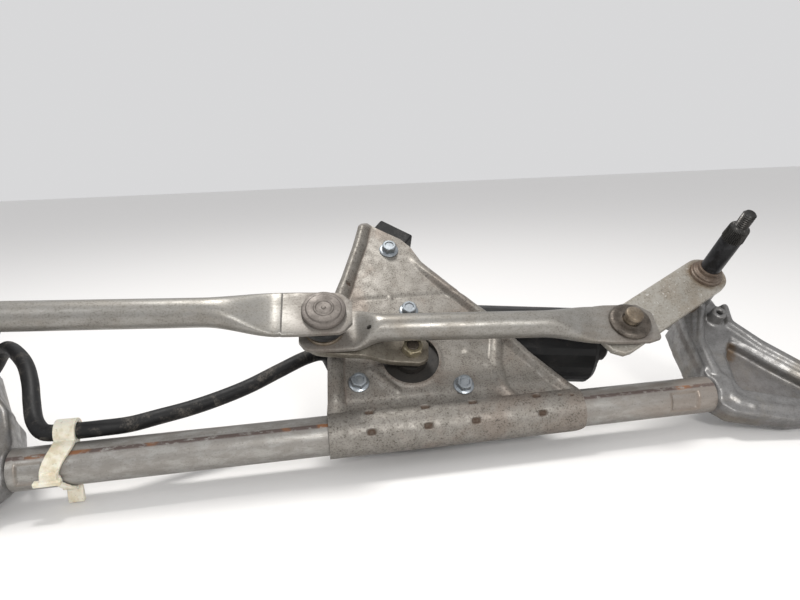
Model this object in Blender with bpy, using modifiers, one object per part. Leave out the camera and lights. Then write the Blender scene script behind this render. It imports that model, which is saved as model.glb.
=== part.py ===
"""Windshield wiper linkage with its motor: a tube frame with two cast pivot housings, a pressed
motor bracket, a worm-gear motor, a crank, two drive rods and two spindles with their levers.

The design axes are X along the frame tube, Y up the motor bracket's plate and Z square to it.
An empty tilts them into the pose in which the assembly lies on a table, with +Z up.
Lengths are written in millimetres and angles in degrees; the helpers turn them into Blender's.
"""
import math

import bmesh
import bpy
from mathutils import Matrix, Vector

MM = 0.001
GAP = 0.3
SMALL, ROUND, LARGE, WHOLE = 16, 24, 36, 48     # sides of small, usual, large and the largest rounds

# ---- pose on the table --------------------------------------------------------------------
LEAN_DEG = 39.0
ORIGIN_SHIFT = (26.08, -57.11, 25.44)

# ---- frame tube: its crimps are a place along the tube and a length -------------------------
TUBE_R = 12.5
TUBE_WALL = 1.5
TUBE_ENDS = {"left": -240.0, "right": 209.0}
CRIMPS = {"left": (-228.0, 15.0), "right": (185.0, 21.0)}
CRIMP_ANGLE = 132.0
CRIMP_WIDTH = 13.0
CRIMP_DEPTH = 0.9

# ---- motor bracket ------------------------------------------------------------------------
PLATE_TOP = 12.0
PLATE_THICK = 2.0
PLATE_FOOT = 15.0
SHAFT = (3.0, 44.0)
SHAFT_HOLE_R = 19.5
BOLT_CIRCLE_R = 40.1
BOLT_HOLE_R = 3.4
MOTOR_DEG = -7.6
BRACKET_LEFT = -56.5
BRACKET_RIGHT = 112.0
WRAP_START, WRAP_END = 52.0, 205.0
APEX_BOLT = (2.5, 143.7)
LEFT_RIDGE = [(-49.5, 22.0), (-49.5, 45.0), (-38.5, 101.0), (-21.0, 146.0), (-12.5, 166.0)]
RIGHT_RIDGE = [(24.5, 124.0), (60.0, 77.0), (91.0, 33.0), (101.0, 18.0)]
RUBBER_SIZE = (30.0, 26.0, 21.5)
RUBBER_AT = (5.1, 161.0, -1.1)
RUBBER_TURN = -39.7

# ---- pivot housings -----------------------------------------------------------------------
SPINDLES = {"left": (-297.0, 118.0), "right": (232.0, 80.5)}
EYES = {"left": (-352.0, -18.0), "right": (336.0, -18.0)}
SPINDLE_R = 6.2
HOUSING_LOW, HOUSING_HIGH = -6.0, 10.0
WALL_LOW = -20.0
POCKET_FLOOR = 1.0
BOSS_R, BOSS_LOW, BOSS_WRAP_R = 14.0, -24.0, 14.5
BUSH_BORE_R, BUSH_OUTER_R, BUSH_LENGTH = 8.05, 7.75, 14.0
SPIGOT_LENGTH, NECK_LENGTH, NECK_RISE = 34.0, 14.0, 1.5
EYE_R = 15.0
GROMMET_R, GROMMET_NECK_R = 13.0, 8.5
GROMMET_ABOVE, GROMMET_BELOW = 3.0, 1.6
SLEEVE_R, SLEEVE_HOLE_R = 5.0, 3.4
SCREW_BOSS = (238.0, 55.0)
SCREW_BOSS_R, SCREW_BOSS_HOLE_R, SCREW_BOSS_TOP = 5.5, 2.3, 20.0

# ---- crank, rods and levers ---------------------------------------------------------------
CRANK_PIN = (-54.0, 54.5)
CRANK_THICK, CRANK_LOW, CRANK_HIGH = 5.0, 18.5, 28.5
ROD_ANGLES = {"left": 175.9, "right": -4.1}
ROD_LENGTHS = {"left": 325.0, "right": 205.5}
ROD_PLATE_BOTTOM = {"left": 54.4, "right": 35.5}
ROD_PLATE_THICK = 4.0
ROD_PLATE_HALF_WIDTH = 15.5
ROD_R = 9.0
ROD_EYE_R = 7.6
LEVER_TOP = {"left": 52.4, "right": 33.5}
LEVER_THICK = 5.0
LEVER_HALF_WIDTH = 15.5
LEVER_PAST_BALL = 22.0
LEVER_LIFT = 0.8

# ---- motor, in its own frame: the output shaft is Z and the armature is along X ----------------
MOTOR_OFFSET = 36.5
MOTOR_LEVEL = -20.0
WHEEL_TEETH = 50
WHEEL_PITCH_R = 31.0
WHEEL_TIP_R = 31.8
WHEEL_ROOT_R = 29.8
WHEEL_HALF = 4.0
WHEEL_HUB_R = 7.0
WORM_TIP_R = 6.0
WORM_ROOT_R = 4.2
WORM_HALF = 9.5
WORM_CREST = 0.45
WORM_FLANK = 0.55
ARMATURE_R = 2.9
CASE_R, CASE_WALL, CASE_LOW, CASE_TOP = 37.5, 4.0, -32.0, -13.8
CASE_NECK_R, LUG_R = 29.0, 6.5
CHANNEL_R, WORM_BORE_R = 11.5, 8.5
MOTOR_FLANGE_START, MOTOR_FLANGE_END = 48.0, 54.0
COVER_R, COVER_LOW, COVER_HIGH = 40.0, -36.0, -32.3
OUTLET_AT, OUTLET_SIZE = (4.0, 3.2), (44.0, 28.0, 26.0)
CAN_R, CAN_START = 28.5, 54.4
SHAFT_R = 6.0

# ---- lead, clip and plug --------------------------------------------------------------------
LEAD_R = 5.0
LEAD_IN_CLIP = (16.6, 9.0)
CLIP_LEFT, CLIP_RIGHT = -216.5, -204.5
CLIP_WALL, LOOP_WALL = 2.3, 2.4
HELD_ROUTE = [
    (-18.6, 47.0, -49.0), (-34.0, 50.0, -47.0), (-50.0, 60.0, -36.0), (-63.5, 67.0, -18.0),
    (-85.5, 58.0, -12.0), (-105.8, 47.0, -9.0), (-125.0, 38.0, -6.0), (-143.0, 31.0, -3.0),
    (-160.6, 25.0, 1.0), (-177.0, 19.5, 5.0), (-192.8, 17.0, 8.5), (-204.0, 16.6, 9.0),
    (-211.0, 16.6, 9.0),
]
TAIL_ROUTE = [
    (-211.4, 16.6, 9.0), (-217.0, 16.6, 9.0), (-225.0, 18.5, 8.8), (-231.5, 27.0, 8.0),
    (-236.5, 41.0, 6.0), (-241.5, 57.0, 3.5), (-249.0, 73.5, 0.0), (-260.0, 88.0, -5.5),
    (-271.0, 98.0, -13.8), (-279.5, 100.5, -25.0), (-289.0, 95.0, -36.0), (-304.0, 85.0, -44.0),
    (-322.0, 71.0, -53.0), (-337.0, 58.5, -61.5), (-350.0, 51.0, -66.2), (-366.0, 50.0, -65.9),
    (-382.0, 50.0, -65.9),
]
HELD_POINTS, TAIL_POINTS = 26, 28
PLUG_SIZE = (34.0, 22.0, 11.0)
PLUG_AT = (-399.6, 50.0, -65.9)

COLOURS = {
    "galvanised": ((0.50, 0.49, 0.46), 0.45, 0.9),
    "cast_aluminium": ((0.45, 0.44, 0.43), 0.5, 0.85),
    "zinc": ((0.55, 0.58, 0.62), 0.35, 0.95),
    "dark_steel": ((0.05, 0.05, 0.05), 0.4, 0.8),
    "brown_steel": ((0.24, 0.20, 0.18), 0.5, 0.7),
    "black_plastic": ((0.03, 0.03, 0.03), 0.5, 0.0),
    "rubber": ((0.02, 0.02, 0.02), 0.8, 0.0),
    "clip_plastic": ((0.75, 0.70, 0.58), 0.5, 0.0),
    "can_paint": ((0.02, 0.02, 0.02), 0.4, 0.3),
    "bronze": ((0.45, 0.30, 0.14), 0.4, 0.9),
    "copper": ((0.70, 0.35, 0.20), 0.35, 0.95),
    "ferrite": ((0.10, 0.10, 0.11), 0.7, 0.1),
    "gear_nylon": ((0.80, 0.78, 0.70), 0.5, 0.0),
    "sheath": ((0.03, 0.03, 0.03), 0.6, 0.0),
}


# ---- scene --------------------------------------------------------------------------------
for old in list(bpy.data.objects):
    bpy.data.objects.remove(old, do_unlink=True)

PARTS = bpy.data.collections.new("windshield_wiper_assembly")
CUTTERS = bpy.data.collections.new("cutters")
for collection in (PARTS, CUTTERS):
    bpy.context.scene.collection.children.link(collection)

# turns that lay a shape's own Z along the design's X
SCREW_TURN = {"x": (0.0, math.pi / 2, 0.0), "z": (0.0, 0.0, 0.0)}
ALONG_X = Matrix(((0, 0, 1), (1, 0, 0), (0, 1, 0)))


def material(name):
    found = bpy.data.materials.get(name)
    if found:
        return found
    colour, roughness, metallic = COLOURS[name]
    made = bpy.data.materials.new(name)
    made.use_nodes = True
    shader = made.node_tree.nodes["Principled BSDF"]
    shader.inputs["Base Color"].default_value = (*colour, 1.0)
    shader.inputs["Roughness"].default_value = roughness
    shader.inputs["Metallic"].default_value = metallic
    return made


def empty(name, at=(0, 0, 0), turn_deg=(0, 0, 0), parent=None):
    holder = bpy.data.objects.new(name, None)
    PARTS.objects.link(holder)
    holder.parent = parent
    holder.location = Vector(at) * MM
    holder.rotation_euler = [math.radians(a) for a in turn_deg]
    return holder


def add(name, mesh, finish, parent, at=(0, 0, 0), rotation=(0, 0, 0)):
    """Links a mesh as a part, or as a cutter when it has no finish."""
    thing = bpy.data.objects.new(name, mesh)
    (PARTS if finish else CUTTERS).objects.link(thing)
    thing.parent = parent
    thing.location = Vector(at) * MM
    thing.rotation_euler = rotation
    if finish:
        mesh.materials.clear()
        mesh.materials.append(material(finish))
        mesh.shade_smooth()
        mesh.set_sharp_from_angle(angle=math.radians(35))
    else:
        thing.hide_render = True
        thing.display_type = "WIRE"
    return thing


def boolean(target, cutter, operation="DIFFERENCE", solver="EXACT"):
    cut = target.modifiers.new(f"{operation.lower()}_{cutter.name}", "BOOLEAN")
    cut.operation = operation
    cut.solver = solver
    cut.object = cutter
    return target


# ---- shapes -------------------------------------------------------------------------------
def turned(name, profile, finish, parent, at=(0, 0, 0), axis="z", steps=ROUND, closed=False):
    """A turned shape: (radius, height) points from top to bottom on the outer side."""
    mesh = bpy.data.meshes.new(name)
    points = [(radius * MM, 0.0, height * MM) for radius, height in profile]
    edges = [(i, i + 1) for i in range(len(points) - 1)]
    if closed:
        edges.append((len(points) - 1, 0))
    mesh.from_pydata(points, edges, [])
    thing = add(name, mesh, finish, parent, at, SCREW_TURN[axis])
    screw = thing.modifiers.new("screw", "SCREW")
    screw.angle = math.tau
    screw.steps = steps
    screw.render_steps = steps
    screw.use_merge_vertices = True
    screw.merge_threshold = 0.00001
    screw.use_smooth_shade = True
    return thing


def cylinder(name, radius, low, high, finish, parent, at=(0, 0, 0), axis="z", steps=ROUND):
    profile = [(0, high), (radius, high), (radius, low), (0, low)]
    return turned(name, profile, finish, parent, at, axis, steps)


def ring(name, outer, inner, low, high, finish, parent, at=(0, 0, 0), axis="z", steps=ROUND):
    profile = [(inner, high), (outer, high), (outer, low), (inner, low)]
    return turned(name, profile, finish, parent, at, axis, steps, closed=True)


def polar(radius, degrees, centre=(0.0, 0.0)):
    a = math.radians(degrees)
    return (centre[0] + radius * math.cos(a), centre[1] + radius * math.sin(a))


def arc(centre, radius, start_deg, end_deg, count):
    """Points on an arc, both ends included."""
    step = (end_deg - start_deg) / (count - 1)
    return [polar(radius, start_deg + step * i, centre) for i in range(count)]


def turn_point(point, degrees):
    a = math.radians(degrees)
    return (point[0] * math.cos(a) - point[1] * math.sin(a),
            point[0] * math.sin(a) + point[1] * math.cos(a))


def flat(point, z=0.0):
    return (point[0], point[1], z)


def prism(name, outline, low, high, finish, parent, at=(0, 0, 0), rotation=(0, 0, 0), bevel=0.0):
    """A flat outline, filled and extruded from low to high along its own Z."""
    curve = bpy.data.curves.new(name, "CURVE")
    curve.dimensions = "2D"
    curve.fill_mode = "BOTH"
    curve.extrude = (high - low) * MM / 2
    spline = curve.splines.new("POLY")
    spline.points.add(len(outline) - 1)
    for point, (x, y) in zip(spline.points, outline):
        point.co = (x * MM, y * MM, 0.0, 1.0)
    spline.use_cyclic_u = True
    source = bpy.data.objects.new(name + "_outline", curve)
    CUTTERS.objects.link(source)
    drawn = source.evaluated_get(bpy.context.evaluated_depsgraph_get())
    mesh = bpy.data.meshes.new_from_object(drawn)
    bpy.data.objects.remove(source)
    shape = bmesh.new()
    shape.from_mesh(mesh)
    bmesh.ops.remove_doubles(shape, verts=shape.verts, dist=0.000001)
    bmesh.ops.translate(shape, verts=shape.verts, vec=(0, 0, (high + low) * MM / 2))
    bmesh.ops.recalc_face_normals(shape, faces=shape.faces)
    shape.to_mesh(mesh)
    shape.free()
    thing = add(name, mesh, finish, parent, at, rotation)
    if bevel:
        soften(thing, bevel)
    return thing


def soften(thing, width):
    bevel = thing.modifiers.new("bevel", "BEVEL")
    bevel.width = width * MM
    bevel.segments = 1
    bevel.limit_method = "ANGLE"
    bevel.angle_limit = math.radians(40)
    return thing


def block(name, size, finish, parent, at=(0, 0, 0), rotation=(0, 0, 0), bevel=0.0):
    """A box of the given size, centred on its place."""
    shape = bmesh.new()
    bmesh.ops.create_cube(shape, size=1.0)
    bmesh.ops.scale(shape, vec=Vector(size) * MM, verts=shape.verts)
    mesh = bpy.data.meshes.new(name)
    shape.to_mesh(mesh)
    shape.free()
    thing = add(name, mesh, finish, parent, at, rotation)
    if bevel:
        soften(thing, bevel)
    return thing


def loft(name, rings, finish, parent, at=(0, 0, 0), rotation=(0, 0, 0)):
    """A closed solid through rings of the same number of points, with flat ends."""
    shape = bmesh.new()
    rows = [[shape.verts.new(Vector(p) * MM) for p in one] for one in rings]
    for first, second in zip(rows, rows[1:]):
        for i in range(len(first)):
            j = (i + 1) % len(first)
            shape.faces.new((first[i], first[j], second[j], second[i]))
    shape.faces.new(rows[0][::-1])
    shape.faces.new(rows[-1])
    bmesh.ops.recalc_face_normals(shape, faces=shape.faces)
    mesh = bpy.data.meshes.new(name)
    shape.to_mesh(mesh)
    shape.free()
    return add(name, mesh, finish, parent, at, rotation)


def cable(name, route, radius, finish, parent, count):
    """A round cable on a smooth curve through the route's points, as a poly spline."""
    points = smooth_route(route, count)
    curve = bpy.data.curves.new(name, "CURVE")
    curve.dimensions = "3D"
    curve.bevel_depth = radius * MM
    curve.bevel_resolution = 2
    curve.use_fill_caps = True
    spline = curve.splines.new("POLY")
    spline.points.add(len(points) - 1)
    for point, place in zip(spline.points, points):
        point.co = (*(place * MM), 1.0)
    thing = bpy.data.objects.new(name, curve)
    PARTS.objects.link(thing)
    thing.parent = parent
    curve.materials.append(material(finish))
    return thing


def smooth_route(route, count):
    """Evenly spaced places on the Catmull-Rom curve through the route's points."""
    ends = [Vector(route[0]) * 2 - Vector(route[1]), *map(Vector, route)]
    ends.append(Vector(route[-1]) * 2 - Vector(route[-2]))
    fine = []
    pieces = 24
    for a, b, c, d in zip(ends, ends[1:], ends[2:], ends[3:]):
        for i in range(pieces):
            t = i / pieces
            bend = (2 * a - 5 * b + 4 * c - d) * t * t + (3 * b - a - 3 * c + d) * t * t * t
            fine.append(0.5 * (2 * b + (c - a) * t + bend))
    fine.append(Vector(route[-1]))
    travelled = [0.0]
    for before, after in zip(fine, fine[1:]):
        travelled.append(travelled[-1] + (after - before).length)
    places, at = [], 0
    for i in range(count):
        target = travelled[-1] * i / (count - 1)
        while at < len(fine) - 2 and travelled[at + 1] < target:
            at += 1
        span = travelled[at + 1] - travelled[at]
        places.append(fine[at].lerp(fine[at + 1], (target - travelled[at]) / span))
    return places


def drill(target, radius, low, high, at=(0, 0, 0), axis="z", steps=ROUND):
    name = f"{target.name}_hole_{len(target.modifiers)}"
    return boolean(target, cylinder(name, radius, low, high, None, target.parent, at, axis, steps))


def ease(t):
    return t * t * (3 - 2 * t)


# ---- frame --------------------------------------------------------------------------------
def frame_tube(parent):
    """The tube, with a flat crimp at each end that holds the casting's spigot."""
    length = TUBE_ENDS["right"] - TUBE_ENDS["left"]
    start = (TUBE_ENDS["left"], 0, 0)
    tube = ring("frame_tube", TUBE_R, TUBE_R - TUBE_WALL, 0, length, "galvanised", parent, start, "x", WHOLE)
    cutter_height = 5.0
    for side, (place, crimp_length) in CRIMPS.items():
        spot = polar(TUBE_R - CRIMP_DEPTH + cutter_height / 2, CRIMP_ANGLE)
        size = (crimp_length, CRIMP_WIDTH, cutter_height)
        turn = (math.radians(CRIMP_ANGLE - 90), 0, 0)
        boolean(tube, block(f"{side}_crimp", size, None, parent, (place, *spot), turn, 1.2))


def bracket_outline():
    """The plate seen along Z: a triangle standing on the tube."""
    points = [(BRACKET_LEFT, PLATE_FOOT), (BRACKET_LEFT + 1, 46.0), (-44.0, 103.0), (-26.0, 148.0)]
    points += arc((-11.5, 169.0), 6.5, 160, 60, 6)
    points += [(-1.0, 166.5), (13.4, 155.2), (21.5, 145.0), (27.5, 130.0), (64.3, 80.5), (96.0, 36.0)]
    points += [(107.0, 20.0), (BRACKET_RIGHT, PLATE_FOOT)]
    return points


def wrap_section():
    """The sheet bent around the tube, seen along the tube, as (y, z) points."""
    inner = TUBE_R + GAP
    sides = 18
    outside = arc((0, 0), inner + PLATE_THICK, WRAP_END, WRAP_START, sides)
    inside = arc((0, 0), inner, WRAP_START, WRAP_END, sides)
    overlap = 9.0
    top = [(PLATE_FOOT + 1, PLATE_TOP), (PLATE_FOOT + overlap, PLATE_TOP)]
    under = [(PLATE_FOOT + overlap, PLATE_TOP - PLATE_THICK), (TUBE_R + 0.7, PLATE_TOP - PLATE_THICK)]
    return outside + top + under + inside


def ridge(name, path, half_width, height, parent):
    """A rolled stiffening bead on the plate: a half-round section along a path."""
    rings = []
    sides = 6
    for i, point in enumerate(path):
        before = Vector(path[max(i - 1, 0)])
        after = Vector(path[min(i + 1, len(path) - 1)])
        along = (after - before).normalized()
        across = Vector((along.y, -along.x))
        grow = 0.45 if i in (0, len(path) - 1) else 1.0
        one = []
        for k in range(sides + 1):
            offset, up = polar(1.0, 180 * k / sides)
            place = Vector(point) + across * offset * half_width
            one.append((place.x, place.y, PLATE_TOP - 1.0 + up * height * grow))
        rings.append(one)
    return loft(name, rings, None, parent)


def motor_bracket(parent):
    low = PLATE_TOP - PLATE_THICK
    plate = prism("motor_bracket", bracket_outline(), low, PLATE_TOP, "galvanised", parent)
    wrap = prism("bracket_wrap", wrap_section(), 0, BRACKET_RIGHT - BRACKET_LEFT, None, parent,
                 (BRACKET_LEFT, 0, 0), ALONG_X.to_euler())
    boolean(plate, wrap, "UNION")
    boolean(plate, ridge("bracket_left_ridge", LEFT_RIDGE, 6.0, 6.5, parent), "UNION")
    boolean(plate, ridge("bracket_right_ridge", RIGHT_RIDGE, 7.0, 5.5, parent), "UNION")
    drill(plate, SHAFT_HOLE_R, low - 5, PLATE_TOP + 10, flat(SHAFT), steps=LARGE)
    for at in (*gearbox_bolt_places(), APEX_BOLT):
        drill(plate, BOLT_HOLE_R, low - 5, PLATE_TOP + 10, flat(at), steps=SMALL)


def gearbox_bolt_places():
    return [polar(BOLT_CIRCLE_R, 90 + 120 * k + MOTOR_DEG, SHAFT) for k in range(3)]


def flange_bolt(name, at, length, parent, flange_r=6.6, across_flats=10.0, head=6.0):
    """A hexagon flange bolt standing on the bracket's plate, with its shank below."""
    seat = PLATE_TOP
    shank_r = 3.0
    hexagon = [polar(across_flats / math.sqrt(3), 60 * k + 15) for k in range(6)]
    bolt = prism(name, hexagon, seat + 1.0, seat + head, "zinc", parent, flat(at))
    profile = [(0, seat + 1.6), (flange_r - 1.2, seat + 1.6), (flange_r, seat + 0.9), (flange_r, seat + GAP),
               (shank_r, seat + GAP), (shank_r, seat - length), (0, seat - length)]
    flange = turned(name + "_flange", profile, None, parent, flat(at), steps=ROUND - 4)
    boolean(bolt, flange, "UNION")


def upper_mount(parent):
    """The rubber block that the bracket's upper corner is mounted on, and its bolt."""
    turn = (0, 0, math.radians(RUBBER_TURN))
    rubber = block("upper_mount_block", RUBBER_SIZE, "rubber", parent, RUBBER_AT, turn, 1.2)
    drill(rubber, SHAFT_R / 2 + GAP, -20, 20, flat(APEX_BOLT), steps=SMALL)
    flange_bolt("apex_bolt", APEX_BOLT, 16.0, parent, flange_r=7.2, head=6.6)


# ---- pivot housings -----------------------------------------------------------------------
def housing_outline(side):
    """The casting's arm seen along Z, from its spindle boss round by the tube and the eye."""
    spindle, eye, tube_end = SPINDLES[side], EYES[side], TUBE_ENDS[side]
    clear = TUBE_R + 0.8
    if side == "right":
        outline = arc(spindle, BOSS_WRAP_R, 95, 190, 7)
        outline += [(214.8, 62), (212.8, 44), (212.2, 30), (211.6, clear + 3)]
        outline += [(tube_end + GAP, clear + 0.2), (tube_end + GAP, -clear), (216, -20), (256, -31), (300, -32)]
        outline += arc(eye, EYE_R, -110, 70, 12)
        outline += [(300, -4), (286, 12), (268, 28), (250, 50)]
        return outline + arc(spindle, BOSS_WRAP_R, -15, 60, 5)
    outline = arc(spindle, BOSS_WRAP_R, 85, -10, 7)
    outline += [(-272, 80), (-258, 46), (-247, 34), (-243, 22)]
    outline += [(tube_end - GAP, clear + 0.2), (tube_end - GAP, -clear), (-248, -20), (-290, -30), (-320, -32)]
    outline += arc(eye, EYE_R, 290, 110, 12)
    outline += [(-332, 0), (-318, 40)]
    return outline + arc(spindle, BOSS_WRAP_R, 195, 120, 5)


POCKETS = {
    "right": [(244, 39), (231, 26), (227, 2), (231, -4), (268, -15), (303, -20), (308, -16), (281, 2)],
    "left": [(-282, 82), (-262, 42), (-250, 24), (-246, 0), (-253, -10), (-300, -21), (-322, -22),
             (-326, -14), (-318, 10), (-302, 60)],
}

WALLS = {
    "right": [(215.2, 64), (213.1, 44), (212.5, 30), (212.0, 17.5), (219, 17.5), (219.6, 30), (220.2, 44), (224, 64)],
    "left": [(-271, 77), (-257.6, 45.6), (-247.3, 33.6), (-243.4, 18), (-251, 18), (-254, 30), (-264, 46), (-279, 77)],
}


def pivot_housing(side, parent):
    """A die-cast pivot housing: spindle boss, tube spigot, pocketed arm and mounting eye."""
    name = f"{side}_pivot_housing"
    spindle, tube_end = flat(SPINDLES[side]), (TUBE_ENDS[side], 0, 0)
    outward = 1 if side == "right" else -1
    body = prism(name, housing_outline(side), HOUSING_LOW, HOUSING_HIGH, "cast_aluminium", parent)
    wall = prism(name + "_wall", WALLS[side], WALL_LOW, HOUSING_LOW + 1, None, parent)
    boolean(body, wall, "UNION")
    boss_top = lever_low(side) - LEVER_LIFT
    boolean(body, cylinder(name + "_boss", BOSS_R, BOSS_LOW, boss_top, None, parent, spindle), "UNION")
    low, high = sorted((-SPIGOT_LENGTH * outward, 10.0 * outward))
    spigot_r = TUBE_R - TUBE_WALL - GAP
    boolean(body, cylinder(name + "_spigot", spigot_r, low, high, None, parent, tube_end, "x"), "UNION")
    low, high = sorted((3 * GAP * outward, NECK_LENGTH * outward))
    neck_r = TUBE_R + NECK_RISE
    boolean(body, cylinder(name + "_neck", neck_r, low, high, None, parent, tube_end, "x"), "UNION")
    if side == "right":
        boss = cylinder(name + "_screw_boss", SCREW_BOSS_R, 5, SCREW_BOSS_TOP, None, parent, flat(SCREW_BOSS))
        boolean(body, boss, "UNION")
        drill(body, SCREW_BOSS_HOLE_R, SCREW_BOSS_TOP - 9, SCREW_BOSS_TOP + 5, flat(SCREW_BOSS), steps=SMALL)
    boolean(body, prism(name + "_pocket", POCKETS[side], POCKET_FLOOR, HOUSING_HIGH + 3, None, parent))
    drill(body, BUSH_BORE_R, BOSS_LOW - 5, boss_top + 5, spindle, steps=28)
    drill(body, GROMMET_NECK_R + GAP, HOUSING_LOW - 5, HOUSING_HIGH + 5, flat(EYES[side]))


def pivot_fittings(side, parent):
    """The bushes in the spindle boss, and the grommet and sleeve in the mounting eye."""
    spindle, eye = flat(SPINDLES[side]), flat(EYES[side])
    top = lever_low(side) - LEVER_LIFT - 0.5
    low = BOSS_LOW + 0.5
    inner = SPINDLE_R + GAP
    ring(f"{side}_upper_bush", BUSH_OUTER_R, inner, top - BUSH_LENGTH, top, "bronze", parent, spindle)
    ring(f"{side}_lower_bush", BUSH_OUTER_R, inner, low, low + BUSH_LENGTH, "bronze", parent, spindle)
    top, low = HOUSING_HIGH + GROMMET_ABOVE, HOUSING_LOW - GROMMET_BELOW
    profile = [(SLEEVE_R + GAP, top), (GROMMET_R, top), (GROMMET_R, HOUSING_HIGH + GAP),
               (GROMMET_NECK_R, HOUSING_HIGH + GAP), (GROMMET_NECK_R, HOUSING_LOW - GAP),
               (GROMMET_R, HOUSING_LOW - GAP), (GROMMET_R, low), (SLEEVE_R + GAP, low)]
    turned(f"{side}_mount_grommet", profile, "rubber", parent, eye, closed=True)
    ring(f"{side}_mount_sleeve", SLEEVE_R, SLEEVE_HOLE_R, low, top, "zinc", parent, eye)


def lever_low(side):
    return LEVER_TOP[side] - LEVER_THICK


# ---- crank and rods -----------------------------------------------------------------------
def crank_arm(parent, length, angle_deg):
    """A bar that steps up from the output shaft to the pin: (x, half width, bottom z) stations."""
    stations = [(x, w, CRANK_LOW) for x, w in ((-10.5, 5.0), (-9.0, 8.0), (-5.5, 10.3), (13.0, 10.6))]
    stations += [(20.0, 11.4, 20.6), (27.0, 12.6, 26.4), (32.0, 13.3, CRANK_HIGH)]
    stations += [(length + x, w, CRANK_HIGH) for x, w in ((-4.0, 14.0), (6.0, 14.0), (11.0, 11.5), (14.0, 7.0))]
    rings = [[(x, -w, low), (x, w, low), (x, w, low + CRANK_THICK), (x, -w, low + CRANK_THICK)]
             for x, w, low in stations]
    arm = loft("crank_arm", rings, "galvanised", parent, (0, 0, 0), (0, 0, math.radians(angle_deg)))
    drill(arm, 5.0 + GAP, 0, 60)
    drill(arm, 6.0 + GAP, 0, 60, flat(turn_point((length, 0), angle_deg)))


def crank_group(parent):
    """The crank arm with its nut and pin, on the output shaft with its worm wheel."""
    across, up = CRANK_PIN[0] - SHAFT[0], CRANK_PIN[1] - SHAFT[1]
    crank_arm(parent, math.hypot(across, up), math.degrees(math.atan2(up, across)))
    shaft = [(0, 29.6), (3.6, 29.6), (4.0, 29.0), (4.0, 24.0), (4.9, 23.2), (4.9, 18.2), (SHAFT_R, 18.0),
             (SHAFT_R, -13.0), (WHEEL_HUB_R, -13.3), (WHEEL_HUB_R, -26.5), (5.0, -26.8), (5.0, -31.0), (0, -31.0)]
    turned("output_shaft", shaft, "dark_steel", parent, steps=20)
    nut_low = CRANK_LOW + CRANK_THICK + GAP
    nut = prism("crank_nut", [polar(7.5, 60 * k) for k in range(6)], nut_low, 29.2, "zinc", parent, bevel=0.4)
    drill(nut, 4.0 + GAP, 20, 35)
    pin = [(0, 58.2), (3.5, 58.0), (5.5, 56.4), (5.5, 54.0), (3.8, 51.5), (3.8, 42.5), (5.6, 40.5), (5.6, 36.5),
           (4.6, 34.6), (8.0, 34.4), (8.0, 33.8), (5.9, 33.8), (5.9, 28.2), (7.5, 28.0), (7.0, 26.2), (0, 26.0)]
    turned("crank_pin", pin, "dark_steel", parent, (across, up, 0), steps=20)
    worm_wheel(parent)


def worm_wheel(parent):
    """Straight-cut teeth, one gap centred under the worm's thread at rest."""
    pitch = 360 / WHEEL_TEETH
    start = 90 + MOTOR_DEG + pitch / 2
    tooth = ((WHEEL_ROOT_R, -0.26), (WHEEL_TIP_R, -0.15), (WHEEL_TIP_R, 0.15), (WHEEL_ROOT_R, 0.26))
    outline = [polar(r, start + (k + part) * pitch) for k in range(WHEEL_TEETH) for r, part in tooth]
    low, high = MOTOR_LEVEL - WHEEL_HALF, MOTOR_LEVEL + WHEEL_HALF
    wheel = prism("worm_wheel", outline, low, high, "gear_nylon", parent)
    drill(wheel, WHEEL_HUB_R + GAP, -40, 10, steps=20)


def rod_stations(side, length):
    """Sections of a drive rod along its own x, from the crank pin (x = 0) to its outer joint.

    Each is (x, half width, half thickness, centre z, squareness).
    """
    plate = ROD_PLATE_BOTTOM[side] + ROD_PLATE_THICK / 2
    half = ROD_PLATE_THICK / 2
    if side == "left":
        inner, flare, rise = [(-17.5, 8.0), (-13.5, 12.0), (-9.5, 15.5), (16.0, 16.2), (26.0, 16.0)], 72.0, 3.6
    else:
        inner, flare, rise = [(-16.0, 8.5), (-13.0, 13.0), (-8.5, 15.5), (8.0, 15.5), (22.0, 14.5)], 38.0, 2.5
    stations = [(x, w, half, plate, 1.0) for x, w in inner]
    start_x, start_w = inner[-1]
    for i in (1, 2, 3, 4):
        s = ease(i / 4)
        stations.append((start_x + (flare - start_x) * i / 4, start_w + (ROD_R - start_w) * s,
                         half + (ROD_R - half) * s, plate + rise * s, 1 - s))
    outer_flare, outer_w = 62.0, 14.5
    stations.append((length - outer_flare, ROD_R, ROD_R, plate + rise, 0.0))
    for i in (1, 2, 3, 4):
        s = ease(i / 4)
        stations.append((length - outer_flare + 38.0 * i / 4, ROD_R + (outer_w - ROD_R) * s,
                         ROD_R + (half - ROD_R) * s, plate + rise * (1 - s), s))
    ends = ((-14, ROD_PLATE_HALF_WIDTH), (10, ROD_PLATE_HALF_WIDTH), (15, 12), (18.5, 7.5))
    return stations + [(length + x, w, half, plate, 1.0) for x, w in ends]


def rod_ring(x, half_width, half_thick, centre, square):
    """A section that runs from a circle (square = 0) to a flat bar with rounded sides."""
    power = 1.0 - 0.62 * square
    one = []
    for k in range(SMALL):
        c, s = polar(1.0, 360 * (k + 0.5) / SMALL)
        across = math.copysign(abs(c) ** power, c) * half_width
        up = math.copysign(abs(s) ** power, s) * half_thick
        one.append((x, across, centre + up))
    return one


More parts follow.
